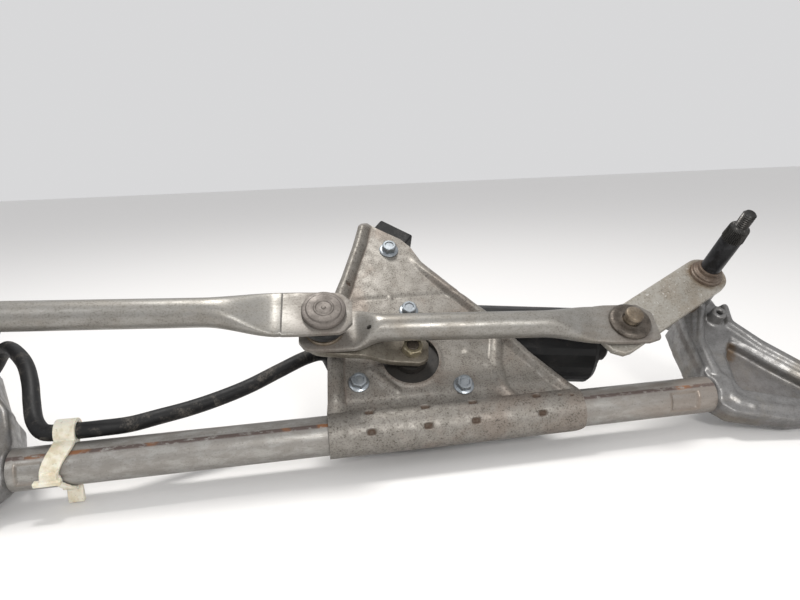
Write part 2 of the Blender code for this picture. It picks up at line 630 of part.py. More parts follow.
def drive_rod(side, parent):
    """A tube pressed flat at both ends, with its joint fittings; x runs along the rod."""
    angle, length = ROD_ANGLES[side], ROD_LENGTHS[side]
    rings = [rod_ring(*station) for station in rod_stations(side, length)]
    rod = loft(f"{side}_rod", rings, "galvanised", parent, (0, 0, 0), (0, 0, math.radians(angle)))
    end = flat(turn_point((length, 0), angle))
    drill(rod, ROD_EYE_R, 20, 75)
    drill(rod, ROD_EYE_R, 20, 75, end)
    bottom = ROD_PLATE_BOTTOM[side]
    top = bottom + ROD_PLATE_THICK
    neck = ROD_EYE_R - GAP
    if side == "left":
        socket = [(6.0, top + 0.2), (neck, top + 0.2), (neck, bottom - GAP), (16.0, bottom - GAP),
                  (16.0, bottom - 5.0), (12.0, bottom - 11.6), (6.0, bottom - 11.6)]
        turned("left_inner_socket", socket, "black_plastic", parent, closed=True)
        cap = [(0, top + 4.2), (11.0, top + 4.2), (11.3, top + 3.6), (13.0, top + 3.6), (13.7, top + 2.8),
               (13.7, top + 0.5), (0, top + 0.5)]
        turned("left_socket_cap", cap, "brown_steel", parent)
    else:
        socket = [(6.0, top + 2.6), (12.2, top + 2.6), (12.6, top + GAP), (neck, top + GAP),
                  (neck, bottom + 0.2), (6.0, bottom + 0.2)]
        turned("right_inner_socket", socket, "brown_steel", parent, closed=True)
    washer = [(5.3, top + 3.4), (11.5, top + 3.6), (13.8, top + 2.4), (13.8, top + GAP), (neck, top + GAP),
              (neck, bottom + 0.2), (5.3, bottom + 0.2)]
    turned(f"{side}_outer_bush", washer, "brown_steel", parent, end, closed=True)
    stud = [(0, top + 10.8), (4.4, top + 10.6), (5.3, top + 9.6), (5.3, top + 7.6), (3.9, top + 6.6),
            (3.9, top + 4.6), (5.0, top + 3.8), (5.0, bottom - 0.9), (8.0, bottom - 1.0), (8.0, bottom - 1.6),
            (0, bottom - 1.6)]
    turned(f"{side}_outer_stud", stud, "dark_steel", parent, end, steps=SMALL)


def rod_end(side):
    return polar(ROD_LENGTHS[side], ROD_ANGLES[side], CRANK_PIN)


def lever_group(side, parent):
    """A spindle and its lever, about the spindle's axis; the lever reaches under the rod's end."""
    joint, spindle = rod_end(side), SPINDLES[side]
    angle = math.atan2(joint[1] - spindle[1], joint[0] - spindle[0])
    end = math.dist(joint, spindle) + LEVER_PAST_BALL
    low, top, half = lever_low(side), LEVER_TOP[side], LEVER_HALF_WIDTH
    outline = arc((0, 0), half, 95, 265, 12)
    outline += [(end - 4, -half), (end - 1.2, -half + 1.2), (end, -half + 4)]
    outline += [(end, half - 8), (end - 5, half - 1.5), (end - 11, half)]
    lever = prism(f"{side}_lever", outline, low, top, "galvanised", parent, (0, 0, 0), (0, 0, angle), 0.8)
    drill(lever, SPINDLE_R + GAP, low - 5, top + 5)
    r, foot = SPINDLE_R, BOSS_LOW
    profile = [(0, top + 63), (3.7, top + 63), (4.5, top + 62), (4.5, top + 51.5), (5.2, top + 50.5),
               (r, top + 49.5), (r, top + 4.0), (9.5, top + 2.6), (9.8, top + GAP), (r, top + GAP),
               (r, foot - 3.0), (r - 1, foot - 3.2), (r - 1, foot - 4.6), (r, foot - 4.8),
               (r, foot - 7.0), (r - 0.8, foot - 7.8), (0, foot - 7.8)]
    turned(f"{side}_spindle", profile, "dark_steel", parent, steps=20)
    ring(f"{side}_thrust_washer", 11.0, r + GAP, foot - 2.0, foot - 0.8, "zinc", parent, steps=20)
    ring(f"{side}_retaining_ring", 9.0, r - 1 + GAP, foot - 4.4, foot - 3.4, "dark_steel", parent, steps=20)


# ---- motor --------------------------------------------------------------------------------
def lugged_outline():
    """The gear case's neck: a circle with a round lug at each bolt."""
    outline = []
    for i in range(60):
        a = 360 * i / 60
        radius = CASE_NECK_R
        for k in range(3):
            off = math.radians((a - 90 - 120 * k + 180) % 360 - 180)
            side = BOLT_CIRCLE_R * math.sin(off)
            if abs(off) < 1 and abs(side) < LUG_R:
                radius = max(radius, BOLT_CIRCLE_R * math.cos(off) + math.sqrt(LUG_R**2 - side**2))
        outline.append(polar(radius, a))
    return outline


def gear_housing(parent):
    """The die-cast gear case, open at the back, with the worm's channel and the motor's flange."""
    top = PLATE_TOP - PLATE_THICK - GAP
    channel = (0, MOTOR_OFFSET, MOTOR_LEVEL)
    body = prism("gear_housing", lugged_outline(), -20.0, top, "cast_aluminium", parent)
    case = cylinder("gear_case", CASE_R, CASE_LOW, CASE_TOP, None, parent, steps=LARGE)
    boolean(body, case, "UNION")
    tunnel = cylinder("gear_channel", CHANNEL_R, -44, MOTOR_FLANGE_START + 2, None, parent, channel, "x", 32)
    boolean(body, tunnel, "UNION")
    flange = cylinder("gear_flange", CAN_R, MOTOR_FLANGE_START, MOTOR_FLANGE_END, None, parent, channel, "x", LARGE)
    boolean(body, flange, "UNION")
    boolean(body, cylinder("gear_output", BUSH_BORE_R + 3, 6, 15.5, None, parent), "UNION")
    drill(body, BUSH_BORE_R + 0.2, -30, 20)
    for k in range(3):
        drill(body, BOLT_HOLE_R, -7.0, 14.0, flat(polar(BOLT_CIRCLE_R, 90 + 120 * k)), steps=SMALL)
    drill(body, CASE_R - CASE_WALL, -40, CASE_TOP - 1.2, steps=LARGE)
    drill(body, WORM_BORE_R, -41, 60, channel, "x")
    ring("output_bush", BUSH_BORE_R - 0.1, SHAFT_R + GAP, -12.8, 15.0, "bronze", parent)


def gear_cover(parent):
    """The plastic lid with the moulded lead outlet, whose edge the motor rests on."""
    cover = prism("gear_cover", arc((0, 0), COVER_R, 0, 352, 45), COVER_LOW, COVER_HIGH, "black_plastic", parent)
    place = flat(turn_point(OUTLET_AT, -MOTOR_DEG), COVER_LOW + 2 - OUTLET_SIZE[2] / 2)
    turn = (0, 0, math.radians(-MOTOR_DEG))
    boolean(cover, block("gear_cover_outlet", OUTLET_SIZE, None, parent, place, turn, 1.5), "UNION")


def motor_body(parent):
    """The yoke and what stands still inside it, along the motor's x axis."""
    inside = [(0, 152.5), (8.6, 152.5), (8.6, 143.5), (15.0, 143.5), (15.0, 139.5), (26.5, 136.0),
              (26.5, CAN_START)]
    outside = [(CAN_R, CAN_START), (CAN_R, 138.0), (26.4, 141.0), (17.5, 141.4), (17.5, 146.0), (11.5, 146.6),
               (11.5, 153.0), (9.5, 155.0), (0, 155.0)]
    profile = [(radius, -x) for radius, x in inside + outside]
    shell = turned("motor_can", profile, "can_paint", parent, steps=LARGE)
    shell.rotation_euler = (0, -math.pi / 2, 0)
    for name, side in (("upper_magnet", 1), ("lower_magnet", -1)):
        outline = arc((0, 0), 26.1, -60, 60, 13) + arc((0, 0), 22.0, 60, -60, 13)
        turn = Matrix(((0, 0, 1), (side, 0, 0), (0, side, 0))).to_euler()
        prism(name, outline, 68, 114, "ferrite", parent, (0, 0, 0), turn)
    ring("brush_card", 26.0, 13.0, 119.5, 122.5, "black_plastic", parent, axis="x")
    for name, side in (("upper_brush", 1), ("lower_brush", -1)):
        block(name, (7.0, 9.0, 5.0), "ferrite", parent, (127.5, side * 14.9, 0))
    ring("front_bearing", WORM_BORE_R - 0.2, ARMATURE_R + GAP, 40, 47, "bronze", parent, axis="x")
    ring("rear_bearing", 8.3, ARMATURE_R + GAP, 144, 150, "bronze", parent, axis="x")


def worm_radius(x, turn, pitch):
    """The shaft's radius at x and at a part of a turn: a trapezoid thread that fades at its ends."""
    from_crest = abs((x / pitch - turn) % 1.0 - 0.5) * pitch
    lift = 1.0 - min(max((from_crest - WORM_CREST) / WORM_FLANK, 0.0), 1.0)
    fade = min(1.0, max(0.0, (WORM_HALF - abs(x)) / 1.5))
    return WORM_ROOT_R + (WORM_TIP_R - WORM_ROOT_R) * lift * fade


def armature(parent):
    """Shaft with a one-start worm, laminated core, winding and commutator; x is the motor's axis."""
    sides, per_turn = 12, 7
    pitch = math.tau * WHEEL_PITCH_R / WHEEL_TEETH
    steps = round(2 * WORM_HALF / pitch * per_turn)

    def section(x, radius_at):
        return [(x, *polar(radius_at(k / sides), 360 * k / sides)) for k in range(sides)]

    def plain(_turn):
        return ARMATURE_R

    rings = [section(-38.0, plain), section(-WORM_HALF - 0.7, plain)]
    for i in range(steps + 1):
        x = -WORM_HALF + 2 * WORM_HALF * i / steps
        rings.append(section(x, lambda turn, x=x: worm_radius(x, turn, pitch)))
    rings += [section(WORM_HALF + 0.7, plain), section(150.5, plain)]
    loft("armature_shaft", rings, "dark_steel", parent)
    slots = 12
    tooth = ((20.5, -0.42), (20.5, 0.0), (20.5, 0.42), (14.0, 0.44), (14.0, 0.56))
    outline = [polar(r, (k + part) * 360 / slots) for k in range(slots) for r, part in tooth]
    core = prism("armature_core", outline, 70, 112, "ferrite", parent, (0, 0, 0), ALONG_X.to_euler())
    drill(core, ARMATURE_R + GAP, 60, 120, axis="x", steps=SMALL)
    bore = ARMATURE_R + GAP
    ring("armature_winding", 18.5, bore, 112.4, 118.0, "copper", parent, axis="x")
    ring("commutator", 10.0, bore, 119.0, 134.0, "copper", parent, axis="x", steps=SMALL)


# ---- lead and clip ------------------------------------------------------------------------
def lead(parent):
    """The sheathed lead as far as the clip, the tail that hangs free beyond it, and its plug."""
    cable("motor_lead", HELD_ROUTE, LEAD_R, "sheath", parent, HELD_POINTS)
    cable("lead_tail", TAIL_ROUTE, LEAD_R, "sheath", parent, TAIL_POINTS)
    level = (math.radians(-LEAN_DEG), 0, 0)
    block("lead_plug", PLUG_SIZE, "black_plastic", parent, PLUG_AT, level, 1.5)


def cable_clip(parent):
    """A moulded clip: a band half around the tube, a loop around the lead and a foot below."""
    width = CLIP_RIGHT - CLIP_LEFT
    start = (CLIP_LEFT, 0, 0)
    loop = (CLIP_LEFT, *LEAD_IN_CLIP)
    inner = TUBE_R + GAP
    outline = arc((0, 0), inner + CLIP_WALL, 20, 232, 26) + arc((0, 0), inner - 1, 232, 20, 13)
    band = prism("cable_clip", outline, 0, width, "clip_plastic", parent, start, ALONG_X.to_euler())
    hoop = cylinder("clip_hoop", LEAD_R + LOOP_WALL, 0, width, None, parent, loop, "x", 28)
    boolean(band, hoop, "UNION", "MANIFOLD")
    down = 270 - LEAN_DEG
    place = ((CLIP_LEFT + CLIP_RIGHT) / 2, *polar(19.4, down))
    foot = block("clip_foot", (9.5, 11.6, 2.6), None, parent, place, (math.radians(down), 0, 0))
    boolean(band, foot, "UNION", "MANIFOLD")
    lead_bore = cylinder("clip_lead_bore", LEAD_R + GAP, -5, 30, None, parent, loop, "x", 28)
    boolean(band, lead_bore, solver="MANIFOLD")
    tube_bore = cylinder("clip_tube_bore", inner, -5, 30, None, parent, start, "x", WHOLE)
    boolean(band, tube_bore, solver="MANIFOLD")


# ---- assembly -----------------------------------------------------------------------------
def build():
    lean = empty("assembly", turn_deg=(LEAN_DEG, 0, 0))
    lean.location = Vector(ORIGIN_SHIFT) * MM
    frame_tube(lean)
    motor_bracket(lean)
    for k, at in enumerate(gearbox_bolt_places()):
        flange_bolt(f"gearbox_bolt_{k + 1}", at, 18.0, lean)
    upper_mount(lean)

    motor = empty("motor_frame", flat(SHAFT), (0, 0, MOTOR_DEG), lean)
    gear_housing(motor)
    gear_cover(motor)
    yoke = empty("motor_axis", (0, MOTOR_OFFSET, MOTOR_LEVEL), (0, 0, 0), motor)
    motor_body(yoke)
    armature(yoke)
    crank_group(empty("crank_axis", flat(SHAFT), (0, 0, 0), lean))
    for side in ("left", "right"):
        pivot_housing(side, lean)
        pivot_fittings(side, lean)
        drive_rod(side, empty(f"{side}_rod_axis", flat(CRANK_PIN), (0, 0, 0), lean))
        lever_group(side, empty(f"{side}_spindle_axis", flat(SPINDLES[side]), (0, 0, 0), lean))
    lead(lean)
    cable_clip(lean)


build()
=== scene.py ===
"""The looks of the windshield wiper assembly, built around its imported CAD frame.

The pieces are drawn in the design's own axes, in millimetres: X along the frame tube, V up the
bracket's plate and N square to it. DESIGN turns them into the frame's metres, with +Z up.
"""
import math

import bmesh
import bpy
from mathutils import Matrix, Vector


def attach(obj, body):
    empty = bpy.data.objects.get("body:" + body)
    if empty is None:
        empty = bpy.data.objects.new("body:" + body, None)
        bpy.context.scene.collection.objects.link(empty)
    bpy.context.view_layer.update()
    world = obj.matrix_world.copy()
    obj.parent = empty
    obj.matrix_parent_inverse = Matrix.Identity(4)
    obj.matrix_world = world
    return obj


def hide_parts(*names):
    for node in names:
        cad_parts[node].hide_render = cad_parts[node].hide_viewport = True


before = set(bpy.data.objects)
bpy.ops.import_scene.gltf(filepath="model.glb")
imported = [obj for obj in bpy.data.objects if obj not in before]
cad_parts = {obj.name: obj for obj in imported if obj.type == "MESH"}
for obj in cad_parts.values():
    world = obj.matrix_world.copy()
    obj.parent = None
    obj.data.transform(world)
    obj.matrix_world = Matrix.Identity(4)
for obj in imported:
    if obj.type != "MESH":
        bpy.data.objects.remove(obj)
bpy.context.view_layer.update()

MM = 0.001
LEAN = math.radians(39.0)
SHIFT = (26.08, -57.11, 25.44)
DESIGN = Matrix.Translation(Vector(SHIFT) * MM) @ Matrix.Rotation(LEAN, 4, "X")

# ---- the design's driving dimensions
TUBE_R = 12.5
TUBE_ENDS = {"left": -240.0, "right": 209.0}
CRIMPS = {"left": (-228.0, 7.5), "right": (185.0, 10.5)}
CRIMP_ANGLE = 132.0
SEAM_ANGLE = 86.0
PLATE_TOP, PLATE_THICK = 12.0, 2.0
SHAFT = (3.0, 44.0)
MOTOR_DEG = -7.6
APEX_BOLT = (2.5, 143.7)
CRANK_PIN = (-54.0, 54.5)
SPINDLES = {"left": (-297.0, 118.0), "right": (232.0, 80.5)}
EYES = {"left": (-352.0, -18.0), "right": (336.0, -18.0)}
ROD_ANGLES = {"left": 175.9, "right": -4.1}
ROD_LENGTHS = {"left": 325.0, "right": 205.5}
ROD_PLATE_BOTTOM = {"left": 54.4, "right": 35.5}
LEVER_TOP = {"left": 52.4, "right": 33.5}
LEVER_HALF, LEVER_THICK, LEVER_PAST = 15.5, 5.0, 22.0
ROD_R, ROD_PLATE = 9.0, 4.0
BOLT_CIRCLE_R, BOLT_HEX_APOTHEM = 40.1, 4.9
SPINDLE_R = 6.2
LEAD_R = 5.0
AXIS_R = 0.02


def design(point):
    """A design point in millimetres, as a place in the frame."""
    return DESIGN @ (Vector(point) * MM)


# ---- camera, floor and light
CAMERA_AT = (-65.7, -167.9, 355.8)
CAMERA_RIGHT = Vector((0.98457, -0.15567, 0.07999))
CAMERA_UP = Vector((0.07425, 0.7854, 0.61452))
FOCAL_LENGTH, SENSOR_WIDTH = 27.0, 36.0
FLOOR_HALF = 4.0
FLOOR_COLOUR = (0.80, 0.79, 0.78)
SKY_COLOUR, SKY_STRENGTH = (0.93, 0.93, 0.94), 0.74
LIGHTS_AIM = Vector((0.0, 0.0, 0.05))
# Each softbox: place, diameter in metres, watts and colour.
SOFTBOXES = {
    "softbox_above": ((-0.10, 0.16, 1.15), 0.26, 8.5, (1.0, 0.985, 0.96)),
    "softbox_front": ((0.20, -1.05, 0.62), 0.30, 5.5, (1.0, 0.99, 0.97)),
    "softbox_left": ((-0.7, -0.6, 0.8), 0.5, 1.2, (0.96, 0.98, 1.0)),
}


def added(name, data):
    """A new object that holds the data, linked to the scene."""
    thing = bpy.data.objects.new(name, data)
    bpy.context.scene.collection.objects.link(thing)
    return thing


def camera():
    """The camera, placed and turned in the design's axes."""
    data = bpy.data.cameras.new("camera")
    data.lens = FOCAL_LENGTH
    data.sensor_width = SENSOR_WIDTH
    data.clip_start = 0.01
    thing = added("camera", data)
    back = CAMERA_RIGHT.cross(CAMERA_UP)
    axes = Matrix((CAMERA_RIGHT, CAMERA_UP, back)).transposed().to_4x4()
    thing.matrix_world = Matrix.Translation(design(CAMERA_AT)) @ DESIGN.to_3x3().to_4x4() @ axes
    bpy.context.scene.camera = thing


def area_light(name, at, size, watts, colour):
    """A round softbox that faces the assembly."""
    data = bpy.data.lights.new(name, "AREA")
    data.shape = "DISK"
    data.size = size
    data.energy = watts
    data.color = colour
    thing = added(name, data)
    thing.location = at
    thing.rotation_euler = (LIGHTS_AIM - Vector(at)).to_track_quat("-Z", "Y").to_euler()


def studio():
    """A plain pale floor under an even sky, and three softboxes."""
    shape = bmesh.new()
    bmesh.ops.create_grid(shape, x_segments=1, y_segments=1, size=FLOOR_HALF)
    mesh = bpy.data.meshes.new("floor")
    shape.to_mesh(mesh)
    shape.free()
    floor = added("floor", mesh)
    paint = bpy.data.materials.new("floor")
    paint.use_nodes = True
    shader = paint.node_tree.nodes["Principled BSDF"]
    shader.inputs["Base Color"].default_value = (*FLOOR_COLOUR, 1.0)
    shader.inputs["Roughness"].default_value = 0.6
    mesh.materials.append(paint)
    world = bpy.data.worlds.new("studio")
    bpy.context.scene.world = world
    world.use_nodes = True
    sky = world.node_tree.nodes["Background"]
    sky.inputs["Color"].default_value = (*SKY_COLOUR, 1.0)
    sky.inputs["Strength"].default_value = SKY_STRENGTH
    for name, (at, size, watts, colour) in SOFTBOXES.items():
        area_light(name, at, size, watts, colour)


# ---- materials
# The colour that the mask darkens towards: soiling on the castings, painted shade in the staking dimples, the
# gauge hole and on the rods' lower sides.
SOIL_AND_SHADE_COLOUR = (0.085, 0.055, 0.038)
BLACK_GRIME = (0.05, 0.035, 0.025)
# The colour that the tube darkens towards around its crimps.
TUBE_RIM_DARKENING = (0.14, 0.085, 0.045)
BROWN_STAIN = (0.15, 0.098, 0.052)
LIME_COLOUR = (0.66, 0.65, 0.62)


class Paint:
    """One procedural material, with short calls for its nodes. Sizes are in millimetres."""

    def __init__(self, name, roughness, metallic=0.0):
        self.material = bpy.data.materials.new(name)
        self.material.use_nodes = True
        self.tree = self.material.node_tree
        self.shader = self.tree.nodes["Principled BSDF"]
        self.shader.inputs["Roughness"].default_value = roughness
        self.shader.inputs["Metallic"].default_value = metallic
        self.place = self.tree.nodes.new("ShaderNodeTexCoord").outputs["Object"]
        self.normal = None

    def link(self, value, socket):
        """Feeds an input with another node's output or with a fixed value."""
        if isinstance(value, bpy.types.NodeSocket):
            self.tree.links.new(value, socket)
        else:
            socket.default_value = value

    def stretched(self, scale):
        """The surface's place with its axes scaled, which stretches a pattern."""
        node = self.tree.nodes.new("ShaderNodeMapping")
        self.link(self.place, node.inputs["Vector"])
        node.inputs["Scale"].default_value = scale
        return node.outputs["Vector"]

    def noise(self, size_mm, detail, rough, stretch=None, warp=0.0):
        """A noise with features of about a size."""
        node = self.tree.nodes.new("ShaderNodeTexNoise")
        self.link(self.stretched(stretch) if stretch else self.place, node.inputs["Vector"])
        node.inputs["Scale"].default_value = 1000.0 / size_mm
        node.inputs["Detail"].default_value = detail
        node.inputs["Roughness"].default_value = rough
        node.inputs["Distortion"].default_value = warp
        return node.outputs["Fac"]

    def band(self, value, low, high, low_to=0.0, high_to=1.0):
        """Maps low..high of a value onto low_to..high_to, clamped and eased."""
        node = self.tree.nodes.new("ShaderNodeMapRange")
        node.interpolation_type = "SMOOTHSTEP"
        self.link(value, node.inputs["Value"])
        limits = {"From Min": low, "From Max": high, "To Min": low_to, "To Max": high_to}
        for key, number in limits.items():
            node.inputs[key].default_value = number
        return node.outputs["Result"]

    def maths(self, operation, a, b):
        """A sum, a difference or a product, clamped to 0..1."""
        node = self.tree.nodes.new("ShaderNodeMath")
        node.operation = operation
        node.use_clamp = True
        self.link(a, node.inputs[0])
        self.link(b, node.inputs[1])
        return node.outputs[0]

    def mix(self, factor, a, b):
        node = self.tree.nodes.new("ShaderNodeMix")
        node.data_type = "RGBA"
        self.link(factor, node.inputs["Factor"])
        for value, socket in ((a, node.inputs["A"]), (b, node.inputs["B"])):
            self.link((*value, 1.0) if isinstance(value, tuple) else value, socket)
        return node.outputs["Result"]

    def mask(self, name):
        """A painted value that the mesh carries from point to point."""
        node = self.tree.nodes.new("ShaderNodeAttribute")
        node.attribute_name = name
        return node.outputs["Fac"]

    def away_from(self, point):
        """Distance in metres from a design point."""
        node = self.tree.nodes.new("ShaderNodeVectorMath")
        node.operation = "DISTANCE"
        self.link(self.place, node.inputs[0])
        node.inputs[1].default_value = Vector(point) * MM
        return node.outputs["Value"]

    def bump(self, height, depth_mm, strength=1.0):
        """Adds a bump on top of the bumps so far."""
        node = self.tree.nodes.new("ShaderNodeBump")
        node.inputs["Strength"].default_value = strength
        node.inputs["Distance"].default_value = depth_mm * MM
        self.link(height, node.inputs["Height"])
        if self.normal:
            self.link(self.normal, node.inputs["Normal"])
        self.normal = node.outputs["Normal"]

    def done(self, colour, roughness, metallic=None):
        """Links the finished values to the shader and returns the material."""
        self.link(colour, self.shader.inputs["Base Color"])
        self.link(roughness, self.shader.inputs["Roughness"])
        if metallic is not None:
            self.link(metallic, self.shader.inputs["Metallic"])
        if self.normal:
            self.link(self.normal, self.shader.inputs["Normal"])
        return self.material


def weathered(name, base, light, stain, speck, roughness, metallic, specks=0.5, grain=0.06,
              blotch=0.6, streak=None, stained=(), flecks=0.0):
    """Dull plated or cast metal: blotches, light patches, a fine dark speckle, soiling and painted shade from
    the mask, stains around given places (X, V, N and radius) and pale flecks of lime."""
    p = Paint(name, roughness, metallic)
    large = p.noise(34.0, 5.0, 0.6, warp=0.4)
    medium = p.noise(7.0, 5.0, 0.65, stretch=streak)
    fine = p.noise(1.1, 3.0, 0.7)
    grit = p.noise(0.55, 2.0, 0.6)
    colour = p.mix(p.band(medium, 0.36, 0.70, 0.0, 0.75), base, light)
    colour = p.mix(p.band(large, 0.48, 0.68, 0.0, blotch), colour, stain)
    dots = p.maths("MULTIPLY", p.band(fine, 0.50, 0.62, 0.0, specks), p.band(medium, 0.35, 0.60, 1.0, 0.5))
    colour = p.mix(dots, colour, speck)
    colour = p.mix(p.band(grit, 0.56, 0.70, 0.0, 0.5), colour, light)
    for x, v, n, radius in stained:
        ring = p.band(p.away_from((x, v, n)), radius * 0.62 * MM, radius * MM, 0.8, 0.0)
        soiled = p.maths("MULTIPLY", ring, p.band(p.noise(4.0, 4.0, 0.65), 0.3, 0.6, 0.35, 1.0))
        colour = p.mix(soiled, colour, BROWN_STAIN)
    if flecks:
        colour = p.mix(p.band(p.noise(2.6, 2.0, 0.5), 0.66, 0.70, 0.0, flecks), colour, LIME_COLOUR)
    # The mask darkens the colour: soiling on the castings, painted shade in the staking dimples, the gauge
    # hole and on the rods' lower sides.
    darkening = p.mask("grime")
    patchy_darkening = p.maths("MULTIPLY", darkening, p.band(p.noise(3.0, 4.0, 0.6), 0.25, 0.55, 0.55, 1.0))
    colour = p.mix(patchy_darkening, colour, SOIL_AND_SHADE_COLOUR)
    rough = p.maths("ADD", p.band(medium, 0.3, 0.7, roughness + 0.12, roughness - 0.06),
                    p.maths("MULTIPLY", patchy_darkening, 0.35))
    p.bump(fine, grain)
    p.bump(medium, grain * 2.0, 0.6)
    bare = p.maths("SUBTRACT", metallic, p.maths("MULTIPLY", patchy_darkening, metallic * 0.9))
    return p.done(colour, rough, bare)


def tube_metal():
    """Galvanised tube with the rusty, speckled stripe of its weld seam."""
    roughness, metallic = 0.42, 0.55
    p = Paint("tube_galvanised", roughness, metallic)
    large = p.noise(45.0, 5.0, 0.6, stretch=(0.35, 1.0, 1.0))
    medium = p.noise(6.0, 5.0, 0.65, stretch=(0.4, 1.0, 1.0))
    fine = p.noise(1.1, 3.0, 0.7)
    colour = p.mix(p.band(medium, 0.4, 0.65), (0.24, 0.226, 0.207), (0.32, 0.31, 0.29))
    colour = p.mix(p.band(large, 0.50, 0.68, 0.0, 0.6), colour, (0.245, 0.205, 0.175))
    colour = p.mix(p.band(fine, 0.57, 0.68, 0.0, 0.5), colour, (0.13, 0.11, 0.095))
    seam = p.mask("seam")
    broken = p.maths("MULTIPLY", seam, p.band(p.noise(2.2, 4.0, 0.7, stretch=(0.5, 1.0, 1.0)), 0.33, 0.5))
    rust = p.mix(p.band(p.noise(22.0, 3.0, 0.5), 0.56, 0.68), (0.085, 0.062, 0.055), (0.20, 0.085, 0.035))
    colour = p.mix(broken, colour, rust)
    # Darker around the crimps' rims, from the mask.
    darkening = p.maths("MULTIPLY", p.mask("grime"), p.band(p.noise(3.0, 4.0, 0.6), 0.25, 0.6, 0.4, 1.0))
    colour = p.mix(darkening, colour, TUBE_RIM_DARKENING)
    rough = p.maths("ADD", p.band(medium, 0.3, 0.7, 0.48, 0.32), p.maths("MULTIPLY", broken, 0.35))
    p.bump(fine, 0.05)
    p.bump(medium, 0.1, 0.5)
    return p.done(colour, rough, p.maths("SUBTRACT", metallic, p.maths("MULTIPLY", broken, 0.5)))


def plain_coat(name, base, worn, roughness, metallic, size_mm, amount, grain=0.04, dust=None):
    """A coating or moulding: soft colour variation, scuffs and, where dust gives its colour and
    amount, dust on top."""
    p = Paint(name, roughness, metallic)
    p.shader.inputs["Specular IOR Level"].default_value = 0.28
    medium = p.noise(size_mm, 5.0, 0.62, warp=0.3)
    fine = p.noise(1.0, 3.0, 0.65)
    colour = p.mix(p.band(medium, 0.46, 0.68, 0.0, amount), base, worn)
    if dust:
        patches = p.band(p.noise(14.0, 5.0, 0.7, warp=0.5), 0.48, 0.66)
        dusty = p.maths("MULTIPLY", patches, p.band(fine, 0.35, 0.6))
        colour = p.mix(p.maths("MULTIPLY", dusty, dust[1]), colour, dust[0])
    colour = p.mix(p.maths("MULTIPLY", p.mask("grime"), 0.85), colour, BLACK_GRIME)
    p.bump(fine, grain)
    return p.done(colour, p.band(medium, 0.3, 0.7, roughness - 0.08, roughness + 0.12))


def clip_plastic():
    """Yellowed natural plastic with brown specks, a little translucent."""
    p = Paint("clip_plastic", 0.45)
    medium = p.noise(8.0, 4.0, 0.6)
    colour = p.mix(p.band(medium, 0.42, 0.66), (0.70, 0.665, 0.56), (0.56, 0.50, 0.36))
    colour = p.mix(p.band(p.noise(1.6, 3.0, 0.6), 0.60, 0.70, 0.0, 0.5), colour, (0.30, 0.24, 0.16))
    p.shader.inputs["Subsurface Weight"].default_value = 0.15
    p.shader.inputs["Subsurface Scale"].default_value = 0.004
    p.bump(medium, 0.12)
    return p.done(colour, p.band(medium, 0.3, 0.7, 0.38, 0.55))


